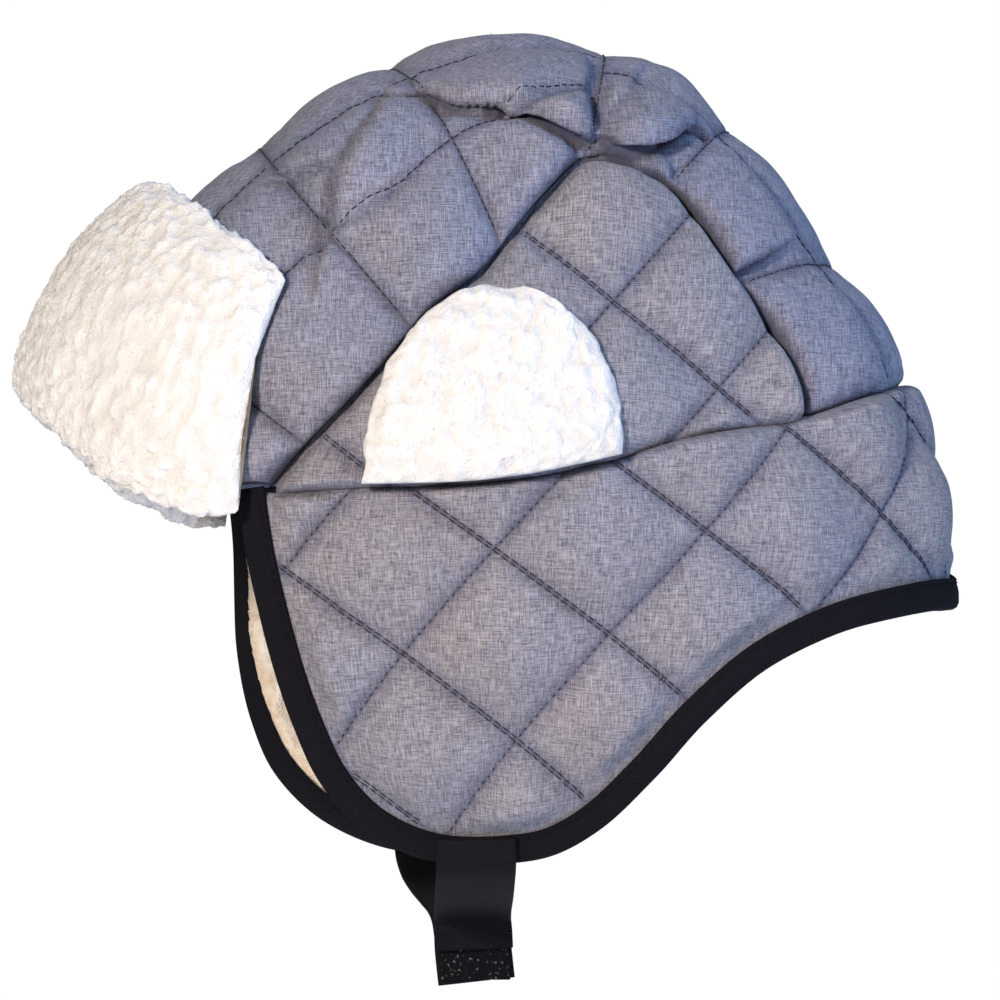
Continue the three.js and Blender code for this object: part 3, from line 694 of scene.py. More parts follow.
# How far the centre panel's edge laps over the arched seam, by share along it, and its lip's depth and width
LIP = (
    dict(arch=0, reach=0.6),
    dict(arch=0.06, reach=2.2),
    dict(arch=0.14, reach=3.8),
    dict(arch=0.45, reach=3.8),
    dict(arch=0.58, reach=2.6),
    dict(arch=0.72, reach=3.0),
    dict(arch=0.9, reach=2.2),
    dict(arch=1, reach=0.8),
)
LIP_SHARE = 0.7
LIP_DEPTH = 3.9
LIP_WIDTH = 1.3
lip_reach = curve_through(column(LIP, "arch"), column(LIP, "reach"))


def hem_sink(from_hem):
    """How deep the cloth is drawn in beside the crown's hem."""
    return 2.2 * np.exp(-from_hem / 0.9)


# Where the gathers pull a quilting line down: place on the side view, pull in squares and reach
PULL = dict(y=-48.9, z=-29.3, squares=0.45, reach=14.0)


def line_pull(points):
    centre = on_side([PULL["y"]], [PULL["z"]])[0]
    distance = np.linalg.norm(on_left(points) - centre, axis=1)
    return PULL["squares"] * np.exp(-((distance / PULL["reach"]) ** 2))


def crown_place(sizes):
    def place(u, v, outer):
        side = np.where(u < 0.5, 1.0, -1.0)
        share = np.maximum(1 - np.abs(2 * u - 1), 0) ** 1.6
        points, share, across, cells, span, width = crown_surface(share, v)
        arch = crown_rows(v)[0]
        q = share * cells + line_pull(points) * (cells > 2)
        size = width / cells
        from_seam = share * width
        dp = np.abs(across - np.round(across)) * span
        dq = np.abs(q - np.round(q)) * size
        full = CROWN_PUFF["middle"] + CROWN_PUFF["sides"] * smooth(points[:, 0] / CROWN_PUFF["width"])
        puff = sizes.puff / MM * full
        rolled = 1 - np.exp(-np.maximum(from_seam, 0) / 2.0)
        profile_q = np.where(q < 0.5, rolled, np.abs(np.sin(np.pi * q)))
        profile_p = np.abs(np.sin(np.pi * across))
        height = 0.5 + puff * puffed(profile_p * profile_q, sizes)
        height += CROWN_PUCKER_HEIGHT * ripple(q * size, dp, PUCKER_PITCH, 0.4)
        height += CROWN_PUCKER_HEIGHT * ripple(v * MIDDLE_TOTAL, dq, PUCKER_PITCH, 1.9)
        mirrored = on_own_side(points, side)
        height += softness(mirrored, 21, 1.2, 2.0) * smooth(dp / 6) * smooth(dq / 6)
        height += softness(mirrored, 8, 0.3, 5.0)
        slide, dark = fold_shape(points)
        to_hem = np.minimum(v, 1 - v) * MIDDLE_TOTAL
        roll = np.exp(-((arch / FRONT_ROLL["arch"] - 1) ** 2) / 0.35)
        rolling = from_seam / FRONT_ROLL["reach"]
        height += FRONT_ROLL["height"] * roll * rolling * np.exp(1 - rolling) * profile_p**0.5
        height -= LIP_DEPTH * np.exp(-from_seam / 0.7) + hem_sink(to_hem)
        height = np.maximum(height, 0.8 - WALL)
        seam = arch_path.at(arch)
        outward = seam - crown_path.at(v)
        normals = normal_at(points)
        outward = unit(outward - normals * (outward * normals).sum(1)[:, None])
        lap = LIP_SHARE * lip_reach(arch) * (from_seam / LIP_WIDTH) * np.exp(1 - from_seam / LIP_WIDTH)
        lifted = lift(points, np.where(outer, height, -WALL))
        lifted += (slide + outward * lap[:, None]) * outer[:, None]
        lifted[:, 0] = side * np.abs(lifted[:, 0]) * (np.abs(2 * u - 1) > 1e-6)
        inward = unit(crown_path.at(v) - seam)
        onward = crown_path.tangent(v)
        flat_across = side * ((1 - share) * width - (slide * inward).sum(1))
        flat = turned(flat_across, v * MIDDLE_TOTAL + (slide * onward).sum(1), 45)
        # The seam distance also carries the fold pockets' distance, for their painted shade
        return lifted, flat, np.minimum(np.minimum(dp, dq), dark)

    return place


# How deep the side panels' edges lie under the lip of the arched seam
ARCH_SINK = 4.4


def side_place(sizes, mirror):
    def place(u, v, outer):
        share = mix(0.004, 0.996, u)
        here = arch_path.at(share)
        tangent = arch_path.tangent(share)
        flat = unit(tangent[:, 1:])
        high_y = here[:, 1] + flat[:, 1] * SEAM_HALF_GAP
        high_z = here[:, 2] - flat[:, 0] * SEAM_HALF_GAP
        low_y = mix(ARCH[0]["y"] + 0.6, ARCH[-1]["y"] - 0.6, u)
        low_z = hem_at(angle_of(on_side(low_y, -100.0))) + SEAM_HALF_GAP
        points = on_side(mix(low_y, high_y, v), mix(low_z, high_z, v))
        height, seam = square_height(SIDE_QUILT, points[:, 1], points[:, 2], sizes, 3.1)
        tall = high_z - low_z
        to_arch = np.linalg.norm(points - here, axis=1)
        arch_gap = np.minimum((1 - v) * tall, nearest(points, arch_path.points))
        hem_gap = v * tall
        height = height * smooth((arch_gap + 1) / 9) * smooth((hem_gap + 1.5) / 4)
        height += softness(points, 19, 1.0, 4.0) * smooth(arch_gap / 8) + softness(points, 8, 0.3, 6.0)
        height += 0.4 * ripple(to_arch + points[:, 1], arch_gap, 9, 0.2)
        height -= ARCH_SINK * (1 - smooth(arch_gap / 5)) + hem_sink(hem_gap)
        lifted = lift(points, np.where(outer, height, -WALL))
        cloth = turned(points[:, 1], points[:, 2], 3)
        if mirror:
            lifted[:, 0] = -lifted[:, 0]
            cloth[:, 0] = -cloth[:, 0]
        return lifted, cloth, np.minimum(seam, np.minimum(arch_gap, hem_gap + 1))

    return place


def nearest(points, targets):
    """Distance of each point to the nearest target."""
    best = np.full(len(points), 1e9)
    for target in targets[::4]:
        best = np.minimum(best, ((points - target) ** 2).sum(1))
    return np.sqrt(best)


def edge_points(share):
    return towards(edge_path.at(share) - HEART)


EDGE_SAMPLES = edge_points(np.linspace(0, 1, 320))


def band_surface(u, v):
    """Points of the band by share round from the left temple and share down from the hem."""
    side = np.where(u < 0.5, 1.0, -1.0)
    share = 1 - np.abs(2 * u - 1)
    angle = mix(TEMPLE_ANGLE, 180, share**0.9)
    hem = at_angle(angle, hem_at(angle) - SEAM_HALF_GAP)
    edge = edge_points(share)
    length = np.linalg.norm(hem - edge, axis=1)
    down = v * (1 - TOUCH_GAP / length)
    points = between(hem, edge, down)
    points[:, 0] *= np.abs(2 * u - 1) > 1e-6
    return points, side, length * down, nearest(points, EDGE_SAMPLES)


# Share of the padding that is left in the middle of the back
BACK_PUFF = 0.4


def band_place(sizes):
    def place(u, v, outer):
        points, side, from_hem, from_edge = band_surface(u, v)
        past = from_edge - sizes.binding_width / MM
        girth = girth_at(angle_of(points))
        height, seam = square_height(BAND_QUILT, girth, points[:, 2], sizes, 0.7)
        height = height * mix(BACK_PUFF, 1.0, smooth(points[:, 0] / 40))
        mirrored = on_own_side(points, side)
        height = height * smooth((from_hem + 2.0) / 6) * smooth(past / 8)
        height += softness(mirrored, 22, 1.2, 7.0) * smooth(past / 9) * smooth(from_hem / 6)
        height += softness(mirrored, 8, 0.3, 8.0) * smooth(past / 6)
        height += 0.4 * ripple(girth, from_hem, 8, 0.9) * smooth(past / 6)
        height += 0.45 * ripple(girth + points[:, 2], np.maximum(past, 0), 8, 2.9) * smooth(past / 2)
        height -= hem_sink(from_hem)
        full = smooth((past - 0.8) / 9)
        depth = mix(EDGE_THICKNESS * 0.45, WALL, full)
        height = np.where(past < 0.8, np.minimum(height, 0.0), height)
        lifted = lift(points, np.where(outer, height, -depth))
        lifted[:, 0] = side * np.abs(lifted[:, 0])
        cloth = np.stack([side * (girth - GIRTH_LENGTHS[-1]), points[:, 2]], 1)
        return lifted, cloth, np.minimum(seam, from_hem + 1)

    return place


def drift_at(where):
    """A slow wander in all three directions, the same in each run."""
    shifts = (Vector((0, 0, 0)), Vector((7.3, 1.9, 4.7)), Vector((2.6, 8.1, 5.5)))
    return Vector([noise.noise(where + shift) for shift in shifts])


def curls(points, size, seed):
    """Height of curled pile from 0 to 1, by cells of that size."""
    offset = Vector((seed * 5.3, seed * 2.9, seed * 4.1))
    result = []
    for point in points:
        where = Vector(point) / size + offset
        warped = where + drift_at(where * 0.8) * 0.6
        coarse = noise.voronoi(warped)[0]
        fine = noise.voronoi(warped * 2.3)[0]
        knot = 1 - min(coarse[0] * 1.3, 1) ** 1.5
        strand = 1 - min(fine[0] * 1.4, 1)
        result.append(0.75 * knot + 0.3 * strand + 0.15 * noise.noise(where * 5))
    return np.array(result)


# How far the pile bulges out past the front edges of the band
SPILL = 4.4


def nearest_index(points, targets):
    best = np.full(len(points), 1e9)
    index = np.zeros(len(points), dtype=int)
    for number, target in enumerate(targets):
        away = ((points - target) ** 2).sum(1)
        index[away < best] = number
        best = np.minimum(best, away)
    return index


def lining_place(sizes):
    def place(u, v, outer):
        points, side, from_hem, from_edge = band_surface(u, v * 0.985)
        past = from_edge - sizes.binding_width / MM - 0.8
        full = smooth(past / 9)
        folded = smooth((1.0 - past) / 1.5)
        covered = EDGE_THICKNESS + TOUCH_GAP + sizes.binding_thickness / MM + 0.35
        outer_depth = mix(mix(EDGE_THICKNESS * 0.45, WALL, full) + TOUCH_GAP, covered, folded)
        pile = LINING_DEPTH * full * mix(0.4, 1, smooth(from_hem / 10))
        rim = smooth((from_edge - 1.6) / 1.6)
        inner_depth = np.maximum(WALL + pile, outer_depth + 0.3 + 1.3 * rim)
        mirrored = on_own_side(points, side)
        fluff = curls(mirrored, sizes.curl / MM, 1.0) * sizes.pile / MM * mix(0.25, 1, rim)
        deep = inner_depth + np.where(outer, 0, fluff)
        spill = SPILL * smooth((points[:, 2] + 185) / 55) * np.exp(-((from_edge / 4.0) ** 2))
        spill *= (points[:, 1] < -30) * (0.45 + 1.1 * fluff / (sizes.pile / MM))
        lifted = lift(points, np.where(outer, -outer_depth, -deep))
        lifted += unit(EDGE_SAMPLES[nearest_index(points, EDGE_SAMPLES)] - points) * spill[:, None]
        lifted[:, 0] = side * np.abs(lifted[:, 0])
        cloth = np.stack([side * girth_at(angle_of(points)), points[:, 2]], 1)
        return lifted, cloth, np.where(outer, 0, fluff)

    return place


# Materials


def new_group(name, inputs, outputs):
    group = bpy.data.node_groups.new(name, "ShaderNodeTree")
    for label, kind, default in inputs:
        socket = group.interface.new_socket(name=label, in_out="INPUT", socket_type=kind)
        if default is not None:
            socket.default_value = default
    for label, kind in outputs:
        group.interface.new_socket(name=label, in_out="OUTPUT", socket_type=kind)
    return group, group.nodes.new("NodeGroupInput"), group.nodes.new("NodeGroupOutput")


class Nodes:
    """Short ways to add shader nodes to one tree."""

    def __init__(self, tree):
        self.tree = tree

    def put(self, target, value):
        if isinstance(value, bpy.types.NodeSocket):
            self.tree.links.new(value, target)
        else:
            target.default_value = value

    def math(self, operation, first, second=0.0, clamp=False):
        node = self.tree.nodes.new("ShaderNodeMath")
        node.operation = operation
        node.use_clamp = clamp
        self.put(node.inputs[0], first)
        self.put(node.inputs[1], second)
        return node.outputs[0]

    def blend(self, factor, first, second):
        node = self.tree.nodes.new("ShaderNodeMix")
        node.data_type = "RGBA"
        self.put(node.inputs["Factor"], factor)
        self.put(node.inputs[6], first)
        self.put(node.inputs[7], second)
        return node.outputs[2]

    def noise(self, vector, scale, detail=2.0, roughness=0.5):
        node = self.tree.nodes.new("ShaderNodeTexNoise")
        self.put(node.inputs["Vector"], vector)
        node.inputs["Scale"].default_value = scale
        node.inputs["Detail"].default_value = detail
        node.inputs["Roughness"].default_value = roughness
        return node.outputs["Fac"]

    def wave(self, vector, scale, direction, distortion=0.0):
        node = self.tree.nodes.new("ShaderNodeTexWave")
        node.bands_direction = direction
        self.put(node.inputs["Vector"], vector)
        node.inputs["Scale"].default_value = scale
        node.inputs["Distortion"].default_value = distortion
        return node.outputs["Fac"]

    def stretch(self, vector, scale):
        node = self.tree.nodes.new("ShaderNodeMapping")
        self.put(node.inputs["Vector"], vector)
        node.inputs["Scale"].default_value = scale
        return node.outputs[0]

    def ramp(self, value, low, high):
        node = self.tree.nodes.new("ShaderNodeMapRange")
        self.put(node.inputs["Value"], value)
        node.inputs["From Min"].default_value = low
        node.inputs["From Max"].default_value = high
        return node.outputs["Result"]

    def bump(self, height, distance, strength=1.0, normal=None):
        node = self.tree.nodes.new("ShaderNodeBump")
        self.put(node.inputs["Height"], height)
        node.inputs["Distance"].default_value = distance
        node.inputs["Strength"].default_value = strength
        if normal is not None:
            self.put(node.inputs["Normal"], normal)
        return node.outputs[0]

    def group(self, group, **values):
        node = self.tree.nodes.new("ShaderNodeGroup")
        node.node_tree = group
        for label, value in values.items():
            self.put(node.inputs[label], value)
        return node

    def uv(self):
        node = self.tree.nodes.new("ShaderNodeUVMap")
        node.uv_map = "cloth"
        return node.outputs[0]

    def place(self):
        return self.tree.nodes.new("ShaderNodeTexCoord").outputs["Object"]

    def attribute(self, name):
        node = self.tree.nodes.new("ShaderNodeAttribute")
        node.attribute_name = name
        return node.outputs["Fac"]

    def sideways(self):
        """Place on the side view, as a flat vector."""
        apart = self.tree.nodes.new("ShaderNodeSeparateXYZ")
        flat = self.tree.nodes.new("ShaderNodeCombineXYZ")
        self.put(apart.inputs[0], self.place())
        self.put(flat.inputs[0], apart.outputs[1])
        self.put(flat.inputs[1], apart.outputs[2])
        return flat.outputs[0]

    def either(self, factor, first, second):
        node = self.tree.nodes.new("ShaderNodeMix")
        self.put(node.inputs["Factor"], factor)
        self.put(node.inputs[2], first)
        self.put(node.inputs[3], second)
        return node.outputs[0]

    def tinted(self, colour, tint):
        node = self.tree.nodes.new("ShaderNodeMix")
        node.data_type = "RGBA"
        node.blend_type = "MULTIPLY"
        node.inputs["Factor"].default_value = 1.0
        self.put(node.inputs[6], colour)
        self.put(node.inputs[7], tint)
        return node.outputs[2]


def weave_group():
    """Crossed slubby threads: a value that is low on dark threads and high on light ones, and a height."""
    found = bpy.data.node_groups.get("Slub Weave")
    if found:
        return found
    inputs = [("Vector", "NodeSocketVector", None), ("Contrast", "NodeSocketFloat", 1.0)]
    outputs = [("Threads", "NodeSocketFloat"), ("Height", "NodeSocketFloat")]
    group, start, end = new_group("Slub Weave", inputs, outputs)
    nodes = Nodes(group)
    vector = start.outputs["Vector"]
    layers = (
        ((3000, 260, 1), 1.0),
        ((240, 2900, 1), 1.0),
        ((5200, 640, 1), 0.8),
        ((600, 5000, 1), 0.8),
        ((1500, 90, 1), 0.35),
        ((95, 1400, 1), 0.35),
    )
    total = 0.0
    for scale, weight in layers:
        thread = nodes.math("SUBTRACT", nodes.noise(nodes.stretch(vector, scale), 1.0, 1.0), 0.5)
        total = nodes.math("ADD", nodes.math("MULTIPLY", thread, weight), total)
    slub = nodes.math("SUBTRACT", nodes.noise(nodes.stretch(vector, (2300, 190, 1)), 1.0, 1.0), 0.58)
    slub = nodes.math("MULTIPLY", nodes.math("MAXIMUM", slub, 0.0), 2.2)
    total = nodes.math("ADD", total, slub)
    threads = nodes.math("ADD", nodes.math("MULTIPLY", total, start.outputs["Contrast"]), 0.46)
    group.links.new(threads, end.inputs["Threads"])
    ridges = nodes.math("ADD", nodes.wave(vector, 620.0, "X"), nodes.wave(vector, 620.0, "Y"))
    group.links.new(nodes.math("ADD", nodes.math("MULTIPLY", ridges, 0.3), total), end.inputs["Height"])
    return group


def opaque(colour, factor=1.0):
    return tuple(value * factor for value in colour) + (1,)


def start_material(name, roughness, specular, sheen=0.0, sheen_roughness=0.5):
    material = bpy.data.materials.new(name)
    material.use_nodes = True
    shader = material.node_tree.nodes["Principled BSDF"]
    shader.inputs["Roughness"].default_value = roughness
    shader.inputs["Specular IOR Level"].default_value = specular
    shader.inputs["Sheen Weight"].default_value = sheen
    shader.inputs["Sheen Roughness"].default_value = sheen_roughness
    return material, Nodes(material.node_tree), shader


# Tints of the cloth: its slow drift of tone, a painted blue cast of sky light on the crown's cloth, and
# painted shade in the gullies beside the seams and deep fold pockets, darkest right on the seams
COOL_TINT = (0.92, 0.95, 1.0, 1)
WARM_TINT = (1.05, 1.0, 0.95, 1)
CROWN_SKY_CAST = (0.93, 0.98, 1.09, 1)
GULLY_SHADE = (0.66, 0.67, 0.76, 1)
GULLY_SHADE_WIDTH = 0.004
SEAM_SHADE_WIDTH = 0.0009

# Strength of the weave, and how far a surface faces sideways where the level weave begins and is full
WEAVE_CONTRAST = 1.3
LEVEL_WEAVE = (0.38, 0.5)


def quilted_cloth(name, colours, wrapped):
    """Heather cloth; on a wrapped panel the weave of the sides runs level, whatever way the panel is cut, and
    the cloth gets a painted blue cast of sky light. Seams and deep fold pockets get painted shade.
    """
    material, nodes, shader = start_material(name, 0.82, 0.25, 0.08, 0.5)
    weave = nodes.group(weave_group(), Vector=nodes.uv(), Contrast=WEAVE_CONTRAST)
    threads = weave.outputs["Threads"]
    ridges = weave.outputs["Height"]
    if wrapped:
        level = nodes.group(weave_group(), Vector=nodes.sideways(), Contrast=WEAVE_CONTRAST)
        turned_out = nodes.ramp(nodes.attribute("facing"), *LEVEL_WEAVE)
        threads = nodes.either(turned_out, threads, level.outputs["Threads"])
        ridges = nodes.either(turned_out, ridges, level.outputs["Height"])
    light = opaque(colours.heather_light)
    dark = opaque(colours.heather_dark)
    body = nodes.blend(nodes.math("ADD", threads, 0.0, clamp=True), dark, light)
    drift = nodes.noise(nodes.place(), 22.0, 3.0)
    tone = nodes.blend(nodes.ramp(drift, 0.3, 0.7), COOL_TINT, WARM_TINT)
    mixed = nodes.tinted(body, tone)
    # Painted light: the crown's cloth is tinted bluer, as sky light falling on its top would make it
    if wrapped:
        mixed = nodes.tinted(mixed, CROWN_SKY_CAST)
    # Painted shade: the cloth turns darker and bluer within a few millimetres of seams and deep fold pockets
    gully_shade_mask = nodes.ramp(nodes.attribute("seam"), 0.0, GULLY_SHADE_WIDTH)
    soft = nodes.tinted(mixed, nodes.blend(gully_shade_mask, GULLY_SHADE, (1, 1, 1, 1)))
    # Painted shade: a narrow dark band right on the seams and in the deepest fold pockets
    seam_shade_mask = nodes.ramp(nodes.attribute("seam"), 0.0, SEAM_SHADE_WIDTH)
    shaded = nodes.blend(seam_shade_mask, opaque(colours.painted_seam_shade), soft)
    nodes.put(shader.inputs["Base Color"], shaded)
    nodes.put(shader.inputs["Normal"], nodes.bump(ridges, 0.00012, 0.6))
    return material


def sherpa_cloth(name, colour, shade, pile):
    material, nodes, shader = start_material(name, 0.95, 0.2, 0.3, 0.6)
    place = nodes.place()
    fibres = nodes.noise(place, 1500.0, 4.0, 0.65)
    clumps = nodes.noise(place, 330.0, 3.0, 0.6)
    # Painted shade: where the seam attribute holds a low curl height, the valleys take the darker shade
    # colour; clumps and fibres add random tone
    depth = nodes.ramp(nodes.attribute("seam"), 0.0, pile)
    mixed = nodes.math("ADD", nodes.math("MULTIPLY", depth, 0.75), nodes.math("MULTIPLY", clumps, 0.6))
    pile_shade_mask = nodes.ramp(nodes.math("ADD", mixed, nodes.math("MULTIPLY", fibres, 0.35)), 0.42, 1.0)
    nodes.put(shader.inputs["Base Color"], nodes.blend(pile_shade_mask, opaque(shade), opaque(colour)))
    coarse = nodes.bump(clumps, 0.0014, 0.8)
    nodes.put(shader.inputs["Normal"], nodes.bump(fibres, 0.0006, 0.9, coarse))
    return material


FLUFF = (0.5, 0.48, 0.46, 1)


def woven_tape(name, colour, ribs, roughness, specks=0.0):
    """Ribbed tape, with specks of light fluff where it has hooks."""
    material, nodes, shader = start_material(name, roughness, 0.12)
    vector = nodes.uv()
    ridges = nodes.wave(vector, ribs, "X")
    cross = nodes.wave(vector, ribs * 1.6, "Y")
    height = nodes.math("ADD", ridges, nodes.math("MULTIPLY", cross, 0.6))
    lint = nodes.noise(nodes.place(), 900.0, 2.0)
    mixed = nodes.math("ADD", nodes.math("MULTIPLY", height, 0.35), nodes.math("MULTIPLY", lint, 0.5))
    woven = nodes.blend(nodes.ramp(mixed, 0.15, 0.95), opaque(colour, 0.6), opaque(colour, 1.6))
    if specks:
        fluff = nodes.ramp(nodes.noise(nodes.place(), 1300.0, 2.0), 0.64, 0.74)
        woven = nodes.blend(nodes.math("MULTIPLY", fluff, specks), woven, FLUFF)
    nodes.put(shader.inputs["Base Color"], woven)
    nodes.put(shader.inputs["Normal"], nodes.bump(height, 0.00018, 0.7))
    return material


def thread_material(colours):
    material, nodes, shader = start_material("quilting_thread", 0.8, 0.15)
    twist = nodes.noise(nodes.place(), 2500.0, 1.0)
    shade = nodes.blend(nodes.ramp(twist, 0.35, 0.7), opaque(colours.thread), opaque(colours.thread, 1.8))
    nodes.put(shader.inputs["Base Color"], shade)
    nodes.put(shader.inputs["Normal"], nodes.bump(twist, 0.0001, 0.5))
    return material


MATERIALS = {}


def material_for(key, context):
    """The hat's finishes, each made once."""
    colours = context.scene.hat_colours
    sizes = context.scene.hat_sizes
    makers = {
        "cloth": lambda: quilted_cloth("heather_quilt_cloth", colours, False),
        "crown": lambda: quilted_cloth("heather_crown_cloth", colours, True),
        "sherpa": lambda: sherpa_cloth("sherpa_white", colours.sherpa, colours.sherpa_shade, sizes.pile),
        "lining": lambda: sherpa_cloth("sherpa_cream", colours.lining, colours.lining_shade, sizes.pile),
        "binding": lambda: woven_tape("binding_tape", colours.binding, 700.0, 0.75),
        "webbing": lambda: woven_tape("strap_webbing", colours.webbing, 480.0, 0.6),
        "hooks": lambda: woven_tape("hook_tape", colours.webbing, 900.0, 0.85, 0.5),
        "thread": lambda: thread_material(colours),
    }
    if key not in MATERIALS:
        MATERIALS[key] = makers[key]()
    return MATERIALS[key]


# Sizes and colours that a user would change


def length_property(label, words, value):
    return bpy.props.FloatProperty(name=label, description=words, default=value, unit="LENGTH", precision=4)


def colour_property(label, words, value):
    return bpy.props.FloatVectorProperty(
        name=label, description=words, default=value, size=3, subtype="COLOR", min=0, max=1
    )


class HatSizes(bpy.types.PropertyGroup):
    puff: length_property("Puff", "Height of a quilted square over its seams", 0.0064)
    puff_softness: bpy.props.FloatProperty(
        name="Puff Softness",
        description="Lower values fill the squares out nearer to their seams",
        default=0.42,
    )
    cell: length_property("Mesh Cell", "Spacing of the quilted panels' mesh", 0.00112)
    binding_width: length_property("Binding Width", "Width of the edge binding on each side", 0.007)
    binding_thickness: length_property("Binding Thickness", "Thickness of the folded binding", 0.0011)
    strap_width: length_property("Strap Width", "Width of the chin strap's webbing", 0.02)
    strap_thickness: length_property("Strap Thickness", "Thickness of the webbing", 0.0016)
    tape_width: length_property("Hook Tape Width", "Width of the hook tape", 0.018)
    tape_thickness: length_property("Hook Tape Thickness", "Thickness of the hook tape", 0.0011)
    stitch: length_property("Stitch", "Length of a quilting stitch", 0.0019)
    stitch_pitch: length_property("Stitch Pitch", "Distance from one stitch to the next", 0.0023)
    thread: length_property("Thread", "Diameter of the quilting thread", 0.0004)
    curl: length_property("Curl", "Size of a curl of the sherpa", 0.0042)
    pile: length_property("Pile", "Height of the sherpa's curls", 0.0021)
    flap_thickness: length_property("Brow Flap Thickness", "Thickness of the turned-up flap", 0.013)
    patch_width: length_property("Ear Patch Width", "Width of the half-round patch", 0.062)
    patch_height: length_property("Ear Patch Height", "Height of the half-round patch", 0.046)
    patch_thickness: length_property("Ear Patch Thickness", "Thickness of the half-round patch", 0.006)


class HatColours(bpy.types.PropertyGroup):
    heather_light: colour_property("Heather Light", "Light threads of the cloth", (0.385, 0.378, 0.42))
    heather_dark: colour_property("Heather Dark", "Dark threads of the cloth", (0.12, 0.118, 0.148))
    # The seam shade is painted shade in the seams and deep fold pockets
    painted_seam_shade: colour_property("Seam Shade", "Cloth in the quilting seams", (0.085, 0.088, 0.13))
    thread: colour_property("Thread", "Quilting thread", (0.026, 0.025, 0.038))
    # The sherpa and lining shade colours are painted shade in the valleys between the curls
    sherpa: colour_property("Sherpa", "Tips of the white pile", (0.93, 0.925, 0.915))
    sherpa_shade: colour_property("Sherpa Shade", "Ground of the white pile", (0.80, 0.785, 0.76))
    lining: colour_property("Lining", "Tips of the cream pile", (0.92, 0.84, 0.70))
    lining_shade: colour_property("Lining Shade", "Ground of the cream pile", (0.70, 0.56, 0.40))
    binding: colour_property("Binding", "Edge binding", (0.006, 0.006, 0.009))
    webbing: colour_property("Webbing", "Chin strap", (0.0045, 0.0045, 0.0065))


# Pieces


class HAT_OT_centre_panel(bpy.types.Operator):
    """Make the quilted middle panel of the crown"""

    bl_idname = "hat.centre_panel"
    bl_label = "Crown Centre Panel"

    def execute(self, context):
        sizes = context.scene.hat_sizes
        across = 2 * round(92 * MM / sizes.cell)
        along = round(MIDDLE_TOTAL * MM / sizes.cell)
        data = placed_mesh("crown_center", share_grid(across, along, True), crown_place(sizes))
        cloth = material_for("crown", context)
        new_piece("crown_center", data, cloth, ["crown_center_panel"])
        return {"FINISHED"}


class HAT_OT_side_panels(bpy.types.Operator):
    """Make the two quilted panels under the arched seams"""

    bl_idname = "hat.side_panels"
    bl_label = "Side Panels"

    def execute(self, context):
        sizes = context.scene.hat_sizes
        columns = round(ARCH_TOTAL * 0.8 * MM / sizes.cell)
        rows = round(86 * MM / sizes.cell)
        cloth = material_for("cloth", context)
        for name, mirror in (("left", False), ("right", True)):
            data = placed_mesh("side_" + name, share_grid(columns, rows, True), side_place(sizes, mirror))
            new_piece("side_" + name, data, cloth, ["side_panel_" + name])
        return {"FINISHED"}


class HAT_OT_band(bpy.types.Operator):
    """Make the quilted band of the ear flaps and the nape"""

    bl_idname = "hat.band"
    bl_label = "Ear-Flap Band"

    def execute(self, context):
        sizes = context.scene.hat_sizes
        columns = 2 * round(270 * MM / sizes.cell)
        rows = round(88 * MM / sizes.cell)
        data = placed_mesh("ear_flaps", share_grid(columns, rows, True), band_place(sizes))
        cloth = material_for("cloth", context)
        new_piece("ear_flaps", data, cloth, ["ear_flap_band"])
        return {"FINISHED"}


class HAT_OT_lining(bpy.types.Operator):
    """Make the sherpa lining of the ear-flap band"""

    bl_idname = "hat.lining"
    bl_label = "Flap Lining"

    def execute(self, context):
        sizes = context.scene.hat_sizes
        data = placed_mesh("sherpa_lining", share_grid(420, 78, True), lining_place(sizes))
        pile = material_for("lining", context)
        new_piece("sherpa_lining", data, pile, ["flap_lining"])
        return {"FINISHED"}


# How far the binding's ends run up under the crown, and its steps from an end to the middle of the nape
BINDING_RISE = 2.8
BINDING_STEPS = 230


def binding_outline(sizes):
    """The folded tape's section: distance in from the edge and height over the surface."""
    width = sizes.binding_width / MM
    thick = sizes.binding_thickness / MM
    inner = -EDGE_THICKNESS - TOUCH_GAP
    outer = TOUCH_GAP + thick
    innermost = inner - thick
    ridge = 0.25
    return (
        (width, TOUCH_GAP),
        (width, outer - 0.3),
        (width - 0.5, outer),
        (width - 1.3, outer - ridge),
        (width - 2.2, outer + 0.05),
        (width * 0.45, outer + ridge),
        (0.6, outer + 0.1),
        (-0.55, outer - 0.45),
        (-thick, TOUCH_GAP - 0.4),
        (-thick - 0.15, inner / 2),
        (-thick, inner + 0.4),
        (-0.55, innermost + 0.45),
        (0.6, innermost - 0.1),
        (width * 0.45, innermost - ridge),
        (width - 1.3, innermost + ridge),
        (width - 0.5, innermost),
        (width, innermost + 0.3),
        (width, inner),
        (0.5, inner),
        (-0.1, inner / 2),
        (0.5, TOUCH_GAP),
    )


def swept(name, frames, outline, lengths):
    """A closed section carried along frames of origin, across and height directions."""
    mesh = bmesh.new()
    size = len(outline)
    bmesh.ops.create_grid(mesh, x_segments=len(frames) - 1, y_segments=size, size=0.5)
    mesh.verts.ensure_lookup_table()
    perimeter = lengths_along(np.array(outline + outline[:1]))
    flats = {}
    for vertex in mesh.verts:
        step = round((vertex.co.x + 0.5) * (len(frames) - 1))
        corner = round((vertex.co.y + 0.5) * size)
        origin, across, height = frames[step]
        a, h = outline[corner % size]
        vertex.co = Vector(seated((origin + across * a + height * h)[None])[0])
        flats[vertex.index] = (lengths[step] * MM, perimeter[corner] * MM)
    layer = mesh.loops.layers.uv.new("cloth")
    for face in mesh.faces:
        for loop in face.loops:
            loop[layer].uv = flats[loop.vert.index]
    bmesh.ops.remove_doubles(mesh, verts=mesh.verts, dist=1e-6)
    ends = [edge for edge in mesh.edges if edge.is_boundary]
    bmesh.ops.holes_fill(mesh, edges=ends, sides=0)
    bmesh.ops.recalc_face_normals(mesh, faces=mesh.faces)
    data = bpy.data.meshes.new(name)
    mesh.to_mesh(data)
    mesh.free()
    return data


